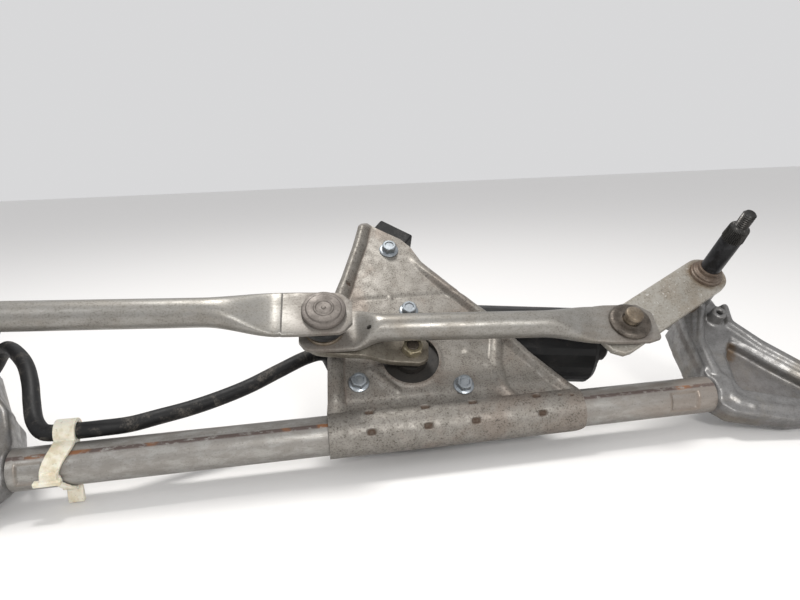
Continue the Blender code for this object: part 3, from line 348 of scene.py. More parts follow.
# Metals: name, base, light, stain and speck colours, roughness, metallic, specks, grain, blotch, streak,
# stained places and flecks.
# Coats: name, base and worn colours, roughness, metallic, pattern size, amount, grain, dust.
PALETTE = {
    "sheet": weathered(
        "sheet_galvanised", (0.195, 0.18, 0.158), (0.27, 0.254, 0.23), (0.19, 0.152, 0.124),
        (0.05, 0.04, 0.033), 0.46, 0.5, 0.9, 0.11, 0.6),
    # Near black: partly the case's own dark colour and partly painted shade, so that the shaft hole reads
    # black.
    "case": weathered(
        "gear_case_dark_and_shaded", (0.014, 0.012, 0.010), (0.028, 0.024, 0.020), (0.026, 0.018, 0.012),
        (0.006, 0.005, 0.004), 0.5, 0.1, 0.7, 0.10),
    "rod": weathered(
        "rod_zinc", (0.235, 0.224, 0.203), (0.31, 0.30, 0.28), (0.205, 0.175, 0.14), (0.10, 0.085, 0.07),
        0.38, 0.65, 0.65, 0.06, 0.45, (0.4, 1.0, 1.0)),
    "lever": weathered(
        "lever_zinc", (0.31, 0.288, 0.25), (0.39, 0.372, 0.335), (0.25, 0.205, 0.155), (0.11, 0.09, 0.07),
        0.45, 0.5, 0.7, 0.08, 0.6, None,
        [(*SPINDLES[hand], LEVER_TOP[hand], 17.0) for hand in ("right", "left")], 0.5),
    "crank": weathered(
        "crank_zinc", (0.145, 0.13, 0.103), (0.23, 0.21, 0.175), (0.10, 0.082, 0.06), (0.055, 0.042, 0.03),
        0.44, 0.55, 0.8, 0.07),
    "cast": weathered(
        "cast_aluminium", (0.19, 0.186, 0.183), (0.27, 0.265, 0.26), (0.195, 0.165, 0.118),
        (0.08, 0.073, 0.068), 0.40, 0.7, 0.5, 0.06, 0.5, None,
        [(240.0, 30.0, 3.0, 9.0), (224.0, 70.0, 12.0, 9.0)]),
    "cap": weathered(
        "cap_steel", (0.115, 0.10, 0.088), (0.165, 0.145, 0.13), (0.09, 0.075, 0.062), (0.045, 0.037, 0.03),
        0.48, 0.4, 0.6, 0.05, 0.4),
    "greasy": weathered(
        "greasy_steel", (0.07, 0.058, 0.047), (0.16, 0.138, 0.115), (0.06, 0.045, 0.033),
        (0.02, 0.017, 0.014), 0.34, 0.6, 0.8, 0.10),
    "rusty": weathered(
        "rusty_steel", (0.095, 0.07, 0.053), (0.19, 0.155, 0.125), (0.12, 0.068, 0.038),
        (0.035, 0.026, 0.02), 0.55, 0.4, 0.8, 0.14, 0.6),
    "head": weathered(
        "stud_head", (0.17, 0.135, 0.095), (0.30, 0.255, 0.205), (0.11, 0.08, 0.055), (0.06, 0.05, 0.04),
        0.38, 0.7, 0.6, 0.05),
    "bolt": weathered(
        "bolt_zinc", (0.24, 0.265, 0.285), (0.40, 0.425, 0.45), (0.17, 0.18, 0.19), (0.12, 0.12, 0.12), 0.34,
        0.85, 0.5, 0.04, 0.5),
    "washer": weathered(
        "washer_zinc", (0.50, 0.52, 0.53), (0.68, 0.70, 0.72), (0.38, 0.36, 0.33), (0.2, 0.19, 0.18), 0.3,
        0.85, 0.4, 0.03, 0.4),
    "nut": weathered(
        "nut_yellow_zinc", (0.30, 0.265, 0.18), (0.50, 0.46, 0.36), (0.20, 0.16, 0.10), (0.10, 0.08, 0.05),
        0.34, 0.8, 0.5, 0.04, 0.4),
    "tube": tube_metal(),
    "spindle": plain_coat(
        "spindle_black", (0.010, 0.010, 0.011), (0.035, 0.035, 0.038), 0.36, 0.25, 5.0, 0.6),
    "seat": weathered(
        "arm_seat_steel", (0.030, 0.029, 0.028), (0.085, 0.082, 0.078), (0.035, 0.030, 0.025),
        (0.012, 0.011, 0.010), 0.34, 0.75, 0.6, 0.05),
    "can": plain_coat(
        "can_black", (0.006, 0.006, 0.0065), (0.016, 0.015, 0.0145), 0.40, 0.0, 22.0, 0.6, 0.05,
        ((0.06, 0.054, 0.047), 0.3)),
    "plastic": plain_coat(
        "black_plastic", (0.008, 0.008, 0.0085), (0.020, 0.0195, 0.019), 0.5, 0.0, 12.0, 0.5, 0.08,
        ((0.11, 0.10, 0.085), 0.3)),
    "rubber": plain_coat(
        "black_rubber", (0.012, 0.012, 0.012), (0.03, 0.03, 0.03), 0.7, 0.0, 10.0, 0.5, 0.1,
        ((0.10, 0.095, 0.09), 0.3)),
    "sheath": plain_coat(
        "lead_sheath", (0.007, 0.007, 0.0075), (0.024, 0.023, 0.022), 0.55, 0.0, 14.0, 0.6, 0.10,
        ((0.13, 0.115, 0.098), 0.7)),
    "clip": clip_plastic(),
    "bronze": weathered(
        "sintered_bronze", (0.36, 0.24, 0.12), (0.50, 0.36, 0.20), (0.22, 0.14, 0.07), (0.08, 0.05, 0.03),
        0.42, 0.8, 0.5, 0.05),
    "copper": weathered(
        "copper", (0.55, 0.26, 0.14), (0.72, 0.40, 0.25), (0.30, 0.14, 0.08), (0.10, 0.05, 0.03), 0.36, 0.9,
        0.4, 0.04),
    "ferrite": plain_coat(
        "ferrite", (0.05, 0.05, 0.053), (0.09, 0.088, 0.085), 0.68, 0.0, 6.0, 0.6, 0.1),
    "nylon": plain_coat(
        "gear_nylon", (0.66, 0.63, 0.54), (0.55, 0.50, 0.38), 0.45, 0.0, 10.0, 0.6, 0.04),
}


# ---- shapes
def solid(name, points, faces):
    """An object from points in design millimetres, with its faces turned outwards."""
    mesh = bpy.data.meshes.new(name)
    mesh.from_pydata([Vector(p) * MM for p in points], [], faces)
    shape = bmesh.new()
    shape.from_mesh(mesh)
    bmesh.ops.recalc_face_normals(shape, faces=shape.faces)
    shape.to_mesh(mesh)
    shape.free()
    thing = added(name, mesh)
    thing.matrix_world = DESIGN
    return thing


def piece(name, points, faces, finish, masks=None, sharp=32):
    """A solid with its material, its painted masks and creases above the angle sharp."""
    thing = solid(name, points, faces)
    mesh = thing.data
    for mask, values in (masks or {}).items():
        layer = mesh.attributes.new(mask, "FLOAT", "POINT")
        layer.data.foreach_set("value", values)
    mesh.shade_smooth()
    mesh.set_sharp_from_angle(angle=math.radians(sharp))
    mesh.materials.append(PALETTE[finish])
    return thing


def mounted(thing, body, slot, *nodes):
    """Puts a piece on its body and hides the CAD nodes that it stands for. Its slot is not used."""
    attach(thing, body)
    if nodes:
        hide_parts(*nodes)
    return thing


def skin(rings, endless=False):
    """Points and faces of a surface through rings of points: capped, or joined end to start."""
    points = [p for one in rings for p in one]
    count, total = len(rings[0]), len(rings)
    faces = []
    for r in range(total if endless else total - 1):
        here, there = r * count, (r + 1) % total * count
        for i in range(count):
            j = (i + 1) % count
            faces.append((here + i, here + j, there + j, there + i))
    if not endless:
        faces.append(tuple(reversed(range(count))))
        faces.append(tuple((total - 1) * count + i for i in range(count)))
    return points, faces


def circle(radius, height, at, count, radius_at=None):
    """A ring of points about a line along N, round or with a radius that depends on the angle."""
    ring = []
    for k in range(count):
        a = math.tau * k / count
        r = radius_at(a, radius) if radius_at else radius
        ring.append((at[0] + r * math.cos(a), at[1] + r * math.sin(a), height))
    return ring


def raised(level, *profile):
    """Profile points whose heights are given from a level."""
    return [(r, level + h) for r, h in profile]


def turned(profile, at, steps, endless=False):
    """Points and faces of a profile of (radius, N) turned about a line along N."""
    return skin([circle(max(r, AXIS_R), h, at, steps) for r, h in profile], endless)


def lathe(name, profile, at, finish, body, slot, nodes=(), steps=64, closed=False):
    """A turned piece. A closed profile joins its end to its start, and makes a ring."""
    thing = piece(name, *turned(profile, at, steps, closed), finish)
    mounted(thing, body, slot, *nodes)


def flat_ring(inner, outer, high, low, edge):
    """A ring's profile, with two points a little way before and after its outer corners."""
    profile = [(inner, high), (outer, high), (outer, low), (inner, low)]
    out = [profile[0]]
    for before, here, after in zip(profile, profile[1:], profile[2:]):
        for other in (before, after):
            span = math.dist(here, other)
            t = min(edge / span, 0.4)
            out.append((here[0] + (other[0] - here[0]) * t, here[1] + (other[1] - here[1]) * t))
    return out + [profile[-1]]


def polar(radius, degrees, centre=(0.0, 0.0)):
    """The point at a radius and an angle from a centre."""
    a = math.radians(degrees)
    return (centre[0] + radius * math.cos(a), centre[1] + radius * math.sin(a))


def arc(centre, radius, start, end, count):
    """Evenly spaced points from one angle to another."""
    return [polar(radius, start + (end - start) * i / (count - 1), centre) for i in range(count)]


def turned_point(point, degrees, centre=(0.0, 0.0)):
    """A point turned by an angle and then moved by a centre."""
    a = math.radians(degrees)
    x, y = point
    return (centre[0] + x * math.cos(a) - y * math.sin(a), centre[1] + x * math.sin(a) + y * math.cos(a))


def smooth(low, high, value):
    """An eased step from 0 at low to 1 at high."""
    t = min(1.0, max(0.0, (value - low) / (high - low)))
    return t * t * (3 - 2 * t)


def along(points, value):
    """Linear interpolation in a list of (position, value) points."""
    if value <= points[0][0]:
        return points[0][1]
    for (a, va), (b, vb) in zip(points, points[1:]):
        if value <= b:
            return va + (vb - va) * (value - a) / (b - a)
    return points[-1][1]


def segment_distance(p, a, b):
    """Distance from a point to a segment in the plane."""
    d = (b[0] - a[0], b[1] - a[1])
    t = ((p[0] - a[0]) * d[0] + (p[1] - a[1]) * d[1]) / (d[0] ** 2 + d[1] ** 2)
    t = min(1.0, max(0.0, t))
    return math.dist(p, (a[0] + d[0] * t, a[1] + d[1] * t))


def modify(thing, kind, **settings):
    """Adds a modifier with its settings."""
    modifier = thing.modifiers.new(kind.lower(), kind)
    for key, value in settings.items():
        setattr(modifier, key, value)


def cut_hole(thing, at, radius, low, high, steps):
    """Adds the modifier for a round hole along N, and returns the solid that it cuts with."""
    tool = solid("cutter", *turned([(radius, low), (radius, high)], at, steps))
    modify(thing, "BOOLEAN", operation="DIFFERENCE", object=tool, solver="EXACT")
    return tool


def apply_modifiers(thing, *tools):
    """Bakes a piece's modifiers into its mesh and removes the solids that they cut with."""
    bpy.context.view_layer.update()
    graph = bpy.context.evaluated_depsgraph_get()
    mesh = bpy.data.meshes.new_from_object(thing.evaluated_get(graph))
    thing.modifiers.clear()
    thing.data = mesh
    for tool in tools:
        bpy.data.objects.remove(tool)
    mesh.shade_smooth()
    mesh.set_sharp_from_angle(angle=math.radians(38))


# ---- frame tube and motor bracket
def tube():
    """The outer skin with its two crimps and its weld seam, then the bore, as one closed surface."""
    sides, wall = 120, 1.5
    crimp_depth, crimp_spread, seam_height, rim_darkening = 2.0, 31.0, 0.14, 0.32
    left, right = TUBE_ENDS["left"], TUBE_ENDS["right"]
    stations = [left + 0.4 * k for k in range(60)]
    stations += [left + 24 + 5.0 * k for k in range(77)]
    stations += [170.0 + 0.6 * k for k in range(65)] + [right]
    stations = sorted({x for x in stations if x <= right})
    rings, seam, grime = [], [], []
    for x in stations:
        ring = []
        for k in range(sides):
            a = 360 * k / sides
            dent = rim = 0.0
            for place, half in CRIMPS.values():
                across = abs((a - CRIMP_ANGLE + 180) % 360 - 180) / crimp_spread
                reach = max(abs(x - place) / half, across)
                dent += crimp_depth * (1 - smooth(0.70, 1.02, reach))
                # rim traces a ring around each crimp's edge, which the mask darkens.
                rim += smooth(0.7, 0.98, reach) * (1 - smooth(0.98, 1.15, reach))
            off = abs((a - SEAM_ANGLE + 180) % 360 - 180)
            seam.append(1.0 - smooth(5.0, 8.0, off))
            grime.append(min(1.0, rim_darkening * rim))
            r = TUBE_R - dent
            r += seam_height * (1 - smooth(3.0, 6.0, off))
            ring.append((x, *polar(r, a)))
        rings.append(ring)
    for x in (right, left):
        rings.append([(x, *polar(TUBE_R - wall, 360 * k / sides)) for k in range(sides)])
        seam += [0.0] * sides
        grime += [0.0] * sides
    thing = piece("tube_metal", *skin(rings, True), "tube", {"seam": seam, "grime": grime})
    mounted(thing, "frame", "galvanised", "frame_tube")


# The plate's outlines give X for each V: its cut edges, and where its raised flanges end.
WRAP_LEFT, WRAP_RIGHT = -56.5, 112.0
HOLE_R = 19.5
LEFT_EDGE = [(1.3, -56.5), (14, -55.6), (47, -53), (103.5, -42.8), (117, -37), (146.6, -25.7), (166, -19.4),
             (171, -18.2), (174, -16.0), (175.5, -13.5)]
LEFT_INNER = [(1.3, -45.0), (14, -44.0), (44, -42.5), (98, -34.0), (107, -29.8), (126, -23.5), (151, -13.6),
              (171, -8.4), (175.5, -9.0)]
RIGHT_EDGE = [(1.3, 112.0), (9, 110), (39.6, 87.2), (78.6, 64.3), (85.6, 58.4), (105, 43.6), (130, 25.8),
              (146, 19.9), (155, 13.4), (166, -1.0), (172, -8.0), (175.5, -11.5)]
RIGHT_INNER = [(4, 100.0), (10.6, 96.0), (39, 76.0), (78, 52.0), (104, 32.5), (122, 21.0), (136, 15.0),
               (146, 12.0)]
# Each bead: its two ends, half width and height.
BEADS = [((-25.5, 38.0), (-10.0, 19.5), 3.6, 2.0), ((66.6, 54.0), (61.0, 36.0), 4.6, 2.2),
         ((61.0, 36.0), (60.5, 6.0), 4.6, 2.2), ((43.0, 44.0), (61.0, 31.0), 3.6, 1.1)]
# Each staking dimple on the wrap: X and the angle around the tube.
STAKES = [(-30.0, 63.0), (6.0, 64.0), (37.5, 65.0), (81.0, 66.0), (-30.0, 119.0), (6.0, 119.0), (37.0, 119.0),
          (82.0, 118.0)]
SMALL_STAKES = [(97.0, 72.0), (105.0, 77.0)]


def plate_height(x, v):
    """The plate's top face above its flat level, and how much its colour is darkened there."""
    left, inner = along(LEFT_EDGE, v), along(LEFT_INNER, v)
    t = (x - left) / (inner - left)
    rise = 6.2 * max(0.0, math.sin(math.pi * (0.16 + 0.84 * max(t, 0.0)))) ** 0.9 if t < 1 else 0.0
    rise *= 1 - smooth(166.0, 175.5, v)
    # Darker along the foot of the left flange, just inside its inner edge.
    grime = 0.45 * math.exp(-(((t - 1.03) / 0.07) ** 2))
    from_inner = x - inner
    right, inner = along(RIGHT_EDGE, v), along(RIGHT_INNER, v)
    t = (right - x) / (right - inner)
    if 0 <= t < 1:
        lift = smooth(5.0, 16.0, v) * (1 - smooth(96.0, 142.0, v))
        rise = max(rise, 4.3 * lift * smooth(0.0, 0.45, 1 - t) * math.sqrt(smooth(-0.06, 0.5, t)))
    for a, b, half, height in BEADS:
        off = segment_distance((x, v), a, b)
        if off < half:
            rise = max(rise, height * math.cos(off / half * math.pi / 2) ** 0.8)
    # A fold across the plate, the step above the tube, a small pip, the gauge hole and the big hole's lip.
    rise -= 0.7 * math.exp(-(((v - 97.0) / 2.2) ** 2)) * smooth(0.0, 8.0, from_inner)
    rise -= 0.9 * math.exp(-(((v - 14.5 + 0.027 * (x + 41)) / 2.6) ** 2)) if v < 30 else 0.0
    rise += 0.8 * (1 - smooth(1.2, 2.6, math.dist((x, v), (-3.3, 97.0))))
    hole = 1 - smooth(1.1, 1.9, math.dist((x, v), (-32.6, 110.0)))
    rise -= 2.2 * hole
    lip = math.dist((x, v), SHAFT) - HOLE_R
    rise += 0.7 * (1 - smooth(1.0, 3.6, lip))
    # Painted shade: a dark spot in the shallow dimple that stands for the gauge hole. The colour also darkens
    # around the big hole's lip.
    grime += hole + 0.5 * (1 - smooth(0.2, 2.0, lip))
    return rise, min(1.0, grime)


def wrap_place(x, a):
    """The sheet's outer face where it is bent around the tube, with its staking dimples and the painted shade
    inside them.
    """
    dent = 0.0
    for places, wide, tall, depth in ((STAKES, 3.4, 2.4, 1.9), (SMALL_STAKES, 1.7, 1.2, 0.9)):
        for sx, sa in places:
            off = (((x - sx) / wide) ** 4 + (math.radians(a - sa) * 14.8 / tall) ** 4) ** 0.25
            dent = max(dent, depth * (1 - smooth(0.45, 1.0, off)))
    y, z = polar(TUBE_R + 0.3 + PLATE_THICK - dent, a)
    # The second value is the painted shade inside the dimples.
    return (x, y, z), min(1.0, dent * 1.1)


def bracket():
    """The pressed sheet: one grid of points around the tube and up the plate, then thickened."""
    columns, wrap_rows, plate_rows = 190, 64, 145
    wrap_start, wrap_turn, plate_low, plate_step = 205.0, 153.0, 15.0, 1.1
    rows = [("wrap", wrap_start - wrap_turn * k / wrap_rows) for k in range(wrap_rows + 1)]
    rows += [("plate", plate_low + plate_step * k) for k in range(plate_rows + 1)]
    points, grime = [], []
    for kind, place in rows:
        for i in range(columns + 1):
            u = i / columns
            if kind == "wrap":
                right = WRAP_RIGHT - 5.0 * smooth(170.0, wrap_start, place)
                point, darkening = wrap_place(WRAP_LEFT + (right - WRAP_LEFT) * u, place)
            else:
                left, right = along(LEFT_EDGE, place), along(RIGHT_EDGE, place)
                x = left + (right - left) * u
                rise, darkening = plate_height(x, place)
                point = (x, place, PLATE_TOP + rise)
            points.append(point)
            grime.append(darkening)
    across = columns + 1
    faces = [(r * across + i, r * across + i + 1, (r + 1) * across + i + 1, (r + 1) * across + i)
             for r in range(len(rows) - 1) for i in range(columns)]
    sheet = piece("bracket_sheet", points, faces, "sheet", {"grime": grime})
    if sheet.data.polygons[0].normal.z > 0:
        sheet.data.flip_normals()
    modify(sheet, "SOLIDIFY", thickness=PLATE_THICK * MM, offset=-1.0, use_even_offset=False)
    tool = cut_hole(sheet, SHAFT, HOLE_R, -5.0, 30.0, 96)
    apply_modifiers(sheet, tool)
    mounted(sheet, "frame", "galvanised", "motor_bracket")


# ---- bolts
def hexed(profile, flats, at, apothem, turn):
    """Points and faces of a turned profile whose rings at the heights in flats are cut to a hexagon."""
    def cut(a, radius):
        inside = (a - math.radians(turn)) % (math.pi / 3) - math.pi / 6
        return min(radius, apothem / math.cos(inside))
    return skin([circle(max(r, AXIS_R), h, at, 72, cut if h in flats else None) for r, h in profile])


def flange_bolt(node, at, flange_r, head, turn):
    """A flange bolt with a dished hexagon head."""
    seat, top = PLATE_TOP, PLATE_TOP + head
    profile = raised(top, (0.0, -0.8), (2.9, -0.8), (3.4, 0.0), (4.5, 0.0), (5.1, -0.5), (9.0, -1.3))
    profile += raised(seat, (9.0, 1.7), (flange_r - 0.9, 1.45), (flange_r - 0.2, 1.1), (flange_r, 0.8),
                      (flange_r, 0.15), (3.0, 0.1), (3.0, -14.0), (0.0, -14.4))
    flats = {top, top - 0.5, top - 1.3, seat + 1.7}
    thing = piece(f"{node}_metal", *hexed(profile, flats, at, BOLT_HEX_APOTHEM, turn), "bolt", sharp=28)
    mounted(thing, "frame", "zinc", node)


def bolts():
    """Three bolts hold the gear case, and one the upper rubber block."""
    for k in range(3):
        at = polar(BOLT_CIRCLE_R, 90 + 120 * k + MOTOR_DEG, SHAFT)
        flange_bolt(f"gearbox_bolt_{k + 1}", at, 6.9, 6.0, 17 + 23 * k)
    flange_bolt("apex_bolt", APEX_BOLT, 7.4, 6.6, 8)


# ---- crank, rods and levers
def bevelled(name, points, faces, finish, width):
    """A solid whose sharp edges are rounded."""
    thing = piece(name, points, faces, finish)
    modify(thing, "BEVEL", width=width * MM, segments=3, limit_method="ANGLE", angle_limit=math.radians(40))
    apply_modifiers(thing)
    return thing


def crank_arm():
    """A flat arm with a joggle. Its sections are (place along it, half width, bottom)."""
    angle = math.degrees(math.atan2(CRANK_PIN[1] - SHAFT[1], CRANK_PIN[0] - SHAFT[0]))
    length, end_r, thick = math.dist(CRANK_PIN, SHAFT), 14.0, 5.0
    stations = [(-11.0, 5.6, 18.5), (-8.6, 8.4, 18.5), (-5.0, 10.3, 18.5), (11.0, 10.6, 18.5),
                (14.0, 10.7, 18.9), (17.5, 11.0, 20.1), (20.5, 11.5, 21.9), (24.0, 12.1, 24.4),
                (27.5, 12.8, 26.6), (30.5, 13.3, 28.0), (34.0, 13.7, 28.5), (length, end_r, 28.5)]
    for s in (0.25, 0.45, 0.62, 0.76, 0.87, 0.95):
        stations.append((length + end_r * s, end_r * math.sqrt(1 - s * s), 28.5))
    rings = []
    for x, half, low in stations:
        corners = ((x, -half, low), (x, half, low), (x, half, low + thick), (x, -half, low + thick))
        rings.append([(*turned_point((a, b), angle, SHAFT), c) for a, b, c in corners])
    thing = bevelled("crank_arm_metal", *skin(rings), "crank", 0.7)
    mounted(thing, "crank", "galvanised", "crank_arm")


def crank_nut():
    """The nut that holds the arm on its shaft, with the shaft's end sunk in it."""
    low, top = 23.6, 29.2
    profile = raised(top, (0.0, -2.0), (3.6, -2.0), (3.9, -0.4), (4.4, 0.0), (6.0, 0.0), (6.7, -0.5),
                     (9.0, -1.4))
    profile += raised(low, (9.0, 0.6), (6.7, 0.0), (0.0, 0.0))
    flats = {top - 0.5, top - 1.4, low + 0.6}
    thing = piece("crank_nut_metal", *hexed(profile, flats, SHAFT, 6.5, 8), "nut", sharp=28)
    mounted(thing, "crank", "zinc", "crank_nut")


def rod_section(x, half_width, half_thick, centre, square, sides):
    """A closed section that goes from round to nearly rectangular as square goes from 0 to 1."""
    power = 1.0 - 0.70 * square
    one = []
    for k in range(sides):
        c, s = polar(1.0, 360 * (k + 0.5) / sides)
        one.append((x, math.copysign(abs(c) ** power, c) * half_width,
                    centre + math.copysign(abs(s) ** power, s) * half_thick))
    return one


# The flattened end at the crank: half widths by place, and where the round tube begins and how far it rises.
ROD_INNER = {
    "left": [(-17.5, 8.0), (-13.6, 12.4), (-12.0, 14.0), (-9.5, 15.4), (0.0, 15.8), (16.0, 16.2),
             (25.0, 16.1)],
    "right": [(-16.0, 8.7), (-13.0, 13.0), (-11.5, 14.4), (-8.5, 15.4), (0.0, 15.5), (8.0, 15.5),
              (18.0, 15.0)],
}
ROD_FLARE = {"left": (72.0, 3.6), "right": (38.0, 2.5)}
# The flattened end at the lever: half widths by place beyond the joint.
ROD_OUTER = [(-20, 14.9), (-14, 15.5), (0, 15.5), (9.6, 15.5), (10.4, 15.2), (18.2, 8.6), (18.6, 7.9)]


def rod_stations(side):
    """Sections along a rod: x, half width, half thickness, centre height and squareness."""
    length, half = ROD_LENGTHS[side], ROD_PLATE / 2
    plate = ROD_PLATE_BOTTOM[side] + half
    flare, rise = ROD_FLARE[side]
    out = [(x, w, half, plate, 1.0) for x, w in ROD_INNER[side]]
    x0, w0 = ROD_INNER[side][-1]
    if side == "left":
        out.append((x0 + 1.0, w0 - 0.5, half + 0.9, plate + 0.2, 0.95))
    steps = 12
    for i in range(1, steps + 1):
        t = i / steps
        s = smooth(0.0, 1.0, t)
        out.append((x0 + (flare - x0) * t, w0 + (ROD_R - w0) * s,
                    half + (ROD_R - half) * smooth(0.0, 0.85, t), plate + rise * s, (1 - s) ** 1.3))
    far = length - 62.0
    for k in range(1, 24):
        out.append((flare + (far - flare) * k / 24, ROD_R, ROD_R, plate + rise, 0.0))
    for i in range(steps + 1):
        t = i / steps
        s = smooth(0.0, 1.0, t)
        out.append((far + 40.0 * t, ROD_R + 5.5 * s, ROD_R - (ROD_R - half) * smooth(0.1, 1.0, t),
                    plate + rise * (1 - s), s ** 1.2))
    return out + [(length + x, w, half, plate, 1.0) for x, w in ROD_OUTER]


def rod(side):
    """A tube pressed flat at both ends. The right one has an ear at its far end and a small hole."""
    length = ROD_LENGTHS[side]
    rings, grime = [], []
    for x, w, t, centre, square in rod_stations(side):
        ring = rod_section(x, w, t, centre, square, 72)
        if side == "right" and x > length + 9:
            ear = min(15.5, w + 4.5) / w
            ring = [(a, b * (ear if b < 0 else 1.0), c) for a, b, c in ring]
        rings.append([(*turned_point((a, b), ROD_ANGLES[side], CRANK_PIN), c) for a, b, c in ring])
        # Darker near each joint, and painted shade on the lower side, which faces the plate.
        from_joint = abs(x - length if x > 60 else x)
        near = 0.55 * math.exp(-((from_joint / 17.0) ** 2)) if from_joint < 40 else 0.0
        grime += [min(1.0, near + (0.3 if c < centre - t * 0.6 else 0.0)) for _, _, c in ring]
    name = f"{side}_rod"
    thing = piece(f"{name}_metal", *skin(rings), "rod", {"grime": grime}, 36)
    modify(thing, "BEVEL", width=0.6 * MM, segments=3, limit_method="ANGLE", angle_limit=math.radians(50))
    tools = [cut_hole(thing, (-26.0, 49.5), 1.5, 20.0, 60.0, 24)] if side == "right" else []
    apply_modifiers(thing, *tools)
    mounted(thing, name, "galvanised", name)


def rod_end(side):
    """The place of a rod's joint with its lever."""
    return polar(ROD_LENGTHS[side], ROD_ANGLES[side], CRANK_PIN)


def crank_joint():
    """The two-storey joint: the left rod's cap and collar, the right rod's disc and the pin."""
    low = ROD_PLATE_BOTTOM["left"]
    top = low + ROD_PLATE
    cap = raised(top, (0.0, 4.9), (0.9, 4.8), (1.5, 4.3), (4.6, 4.3), (5.2, 4.75), (5.9, 4.75), (6.5, 4.3),
                 (9.6, 4.3), (10.4, 4.2), (11.3, 3.4), (12.5, 3.3), (13.3, 3.0), (13.7, 2.3), (13.7, 0.6),
                 (0.0, 0.5))
    lathe("socket_cap_steel", cap, CRANK_PIN, "cap", "left_rod", "brown_steel", ["left_socket_cap"], 96)
    collar = raised(top, (6.0, 0.0), (7.3, 0.0))
    collar += raised(low, (7.3, -0.3), (14.6, -0.3), (15.6, -0.8), (16.0, -1.6), (16.0, -4.6), (15.4, -5.6),
                     (12.0, -11.6), (6.0, -11.6))
    lathe("socket_collar_rubber", collar, CRANK_PIN, "plastic", "left_rod", "black_plastic",
          ["left_inner_socket"], 96, True)
    low = ROD_PLATE_BOTTOM["right"]
    top = low + ROD_PLATE
    disc = raised(top, (6.0, 2.6), (11.6, 2.6), (12.4, 2.3), (12.7, 1.6), (12.7, 0.1), (7.3, 0.0))
    disc += raised(low, (7.3, 0.0), (6.0, 0.0))
    lathe("socket_disc_steel", disc, CRANK_PIN, "head", "right_rod", "brown_steel", ["right_inner_socket"],
          96, True)
    pin = [(0.0, 58.2), (3.5, 58.0), (5.0, 57.0), (5.5, 55.6), (5.2, 53.6), (3.8, 51.5), (3.8, 42.5)]
    pin += [(5.0, 41.2), (5.6, 39.6), (5.6, 36.5), (4.6, 34.6), (8.0, 34.4), (8.0, 33.8), (5.9, 33.8)]
    pin += [(5.9, 28.2), (7.5, 28.0), (7.0, 26.2), (0.0, 26.0)]
    lathe("crank_pin_steel", pin, CRANK_PIN, "greasy", "crank", "dark_steel", ["crank_pin"])


def lever_joint(side):
    """The joint at a rod's far end: a seal ring around a stud with a button head."""
    low = ROD_PLATE_BOTTOM[side]
    top = low + ROD_PLATE
    at = rod_end(side)
    ring = raised(top, (5.2, 3.2), (6.6, 3.7), (8.2, 3.2), (9.6, 3.5), (11.6, 3.5), (13.2, 2.9), (14.2, 1.9),
                  (14.3, 0.3), (13.9, 0.1), (7.3, 0.0))
    ring += raised(low, (7.3, 0.0), (5.2, 0.0))
    lathe(f"{side}_joint_ring", ring, at, "greasy", f"{side}_rod", "brown_steel", [f"{side}_outer_bush"],
          96, True)
    stud = raised(top, (0.0, 10.9), (4.6, 10.7), (5.7, 10.2), (6.2, 9.3), (6.2, 7.9), (5.7, 7.2), (4.6, 6.6),
                  (4.6, 5.1), (5.0, 4.4), (5.1, 3.0))
    stud += raised(low, (5.0, -0.9), (8.0, -1.0), (8.0, -1.6), (0.0, -1.6))
    lathe(f"{side}_joint_stud", stud, at, "head", f"{side}_rod", "dark_steel", [f"{side}_outer_stud"])


def lever(side):
    """A flat lever, round at the spindle and cut to a blunt point past the joint."""
    joint, at = rod_end(side), SPINDLES[side]
    angle = math.degrees(math.atan2(joint[1] - at[1], joint[0] - at[0]))
    end, half = math.dist(joint, at) + LEVER_PAST, LEVER_HALF
    top = LEVER_TOP[side]
    outline = arc((0, 0), half, 90, 270, 37)
    outline += [(end - 4, -half), (end - 1.2, -half + 1.2), (end, -half + 4)]
    outline += [(end, half - 8), (end - 5, half - 1.5), (end - 11, half)]
    rings = [[(*turned_point(p, angle, at), h) for p in outline] for h in (top - LEVER_THICK, top)]
    thing = bevelled(f"{side}_lever_metal", *skin(rings), "lever", 0.9)
    mounted(thing, f"{side}_spindle", "galvanised", f"{side}_lever")


def arm_seat(side, knurl_low):
    """The threaded end and the knurled cone that a wiper arm is pressed on."""
    top, at, steps = LEVER_TOP[side], SPINDLES[side], 144
    thread_low, thread_top, thread_r, thread_depth = top + 51.5, top + 62.0, 4.55, 0.85
    pitch, rings_per_turn = 1.6, 8
    teeth, tooth_height = 36, 0.6

    def knurled(a, radius):
        return radius + tooth_height * (abs(2 * ((a * teeth / math.tau) % 1.0) - 1.0) - 0.5)

    profile = raised(top, (0.0, 62.6), (2.6, 62.9), (3.4, 62.9))
    rings = [circle(max(r, AXIS_R), h, at, steps) for r, h in profile]
    count = round((thread_top - thread_low) / pitch * rings_per_turn)
    for i in range(count + 1):
        h = thread_top - (thread_top - thread_low) * i / count

        def threaded(a, radius, h=h):
            return radius - thread_depth * abs(2 * ((h / pitch + a / math.tau) % 1.0) - 1.0)

        rings.append(circle(thread_r, h, at, steps, threaded))
    rings.append(circle(4.6, top + 50.8, at, steps))
    for h, r in ((top + 49.8, 5.9), (top + 49.0, 6.6), (knurl_low + 0.6, 7.25)):
        rings.append(circle(r, h, at, steps, knurled))
    rings.append(circle(6.9, knurl_low, at, steps))
    thing = piece(f"{side}_arm_seat", *skin(rings), "seat", sharp=24)
    mounted(thing, f"{side}_spindle", "dark_steel")


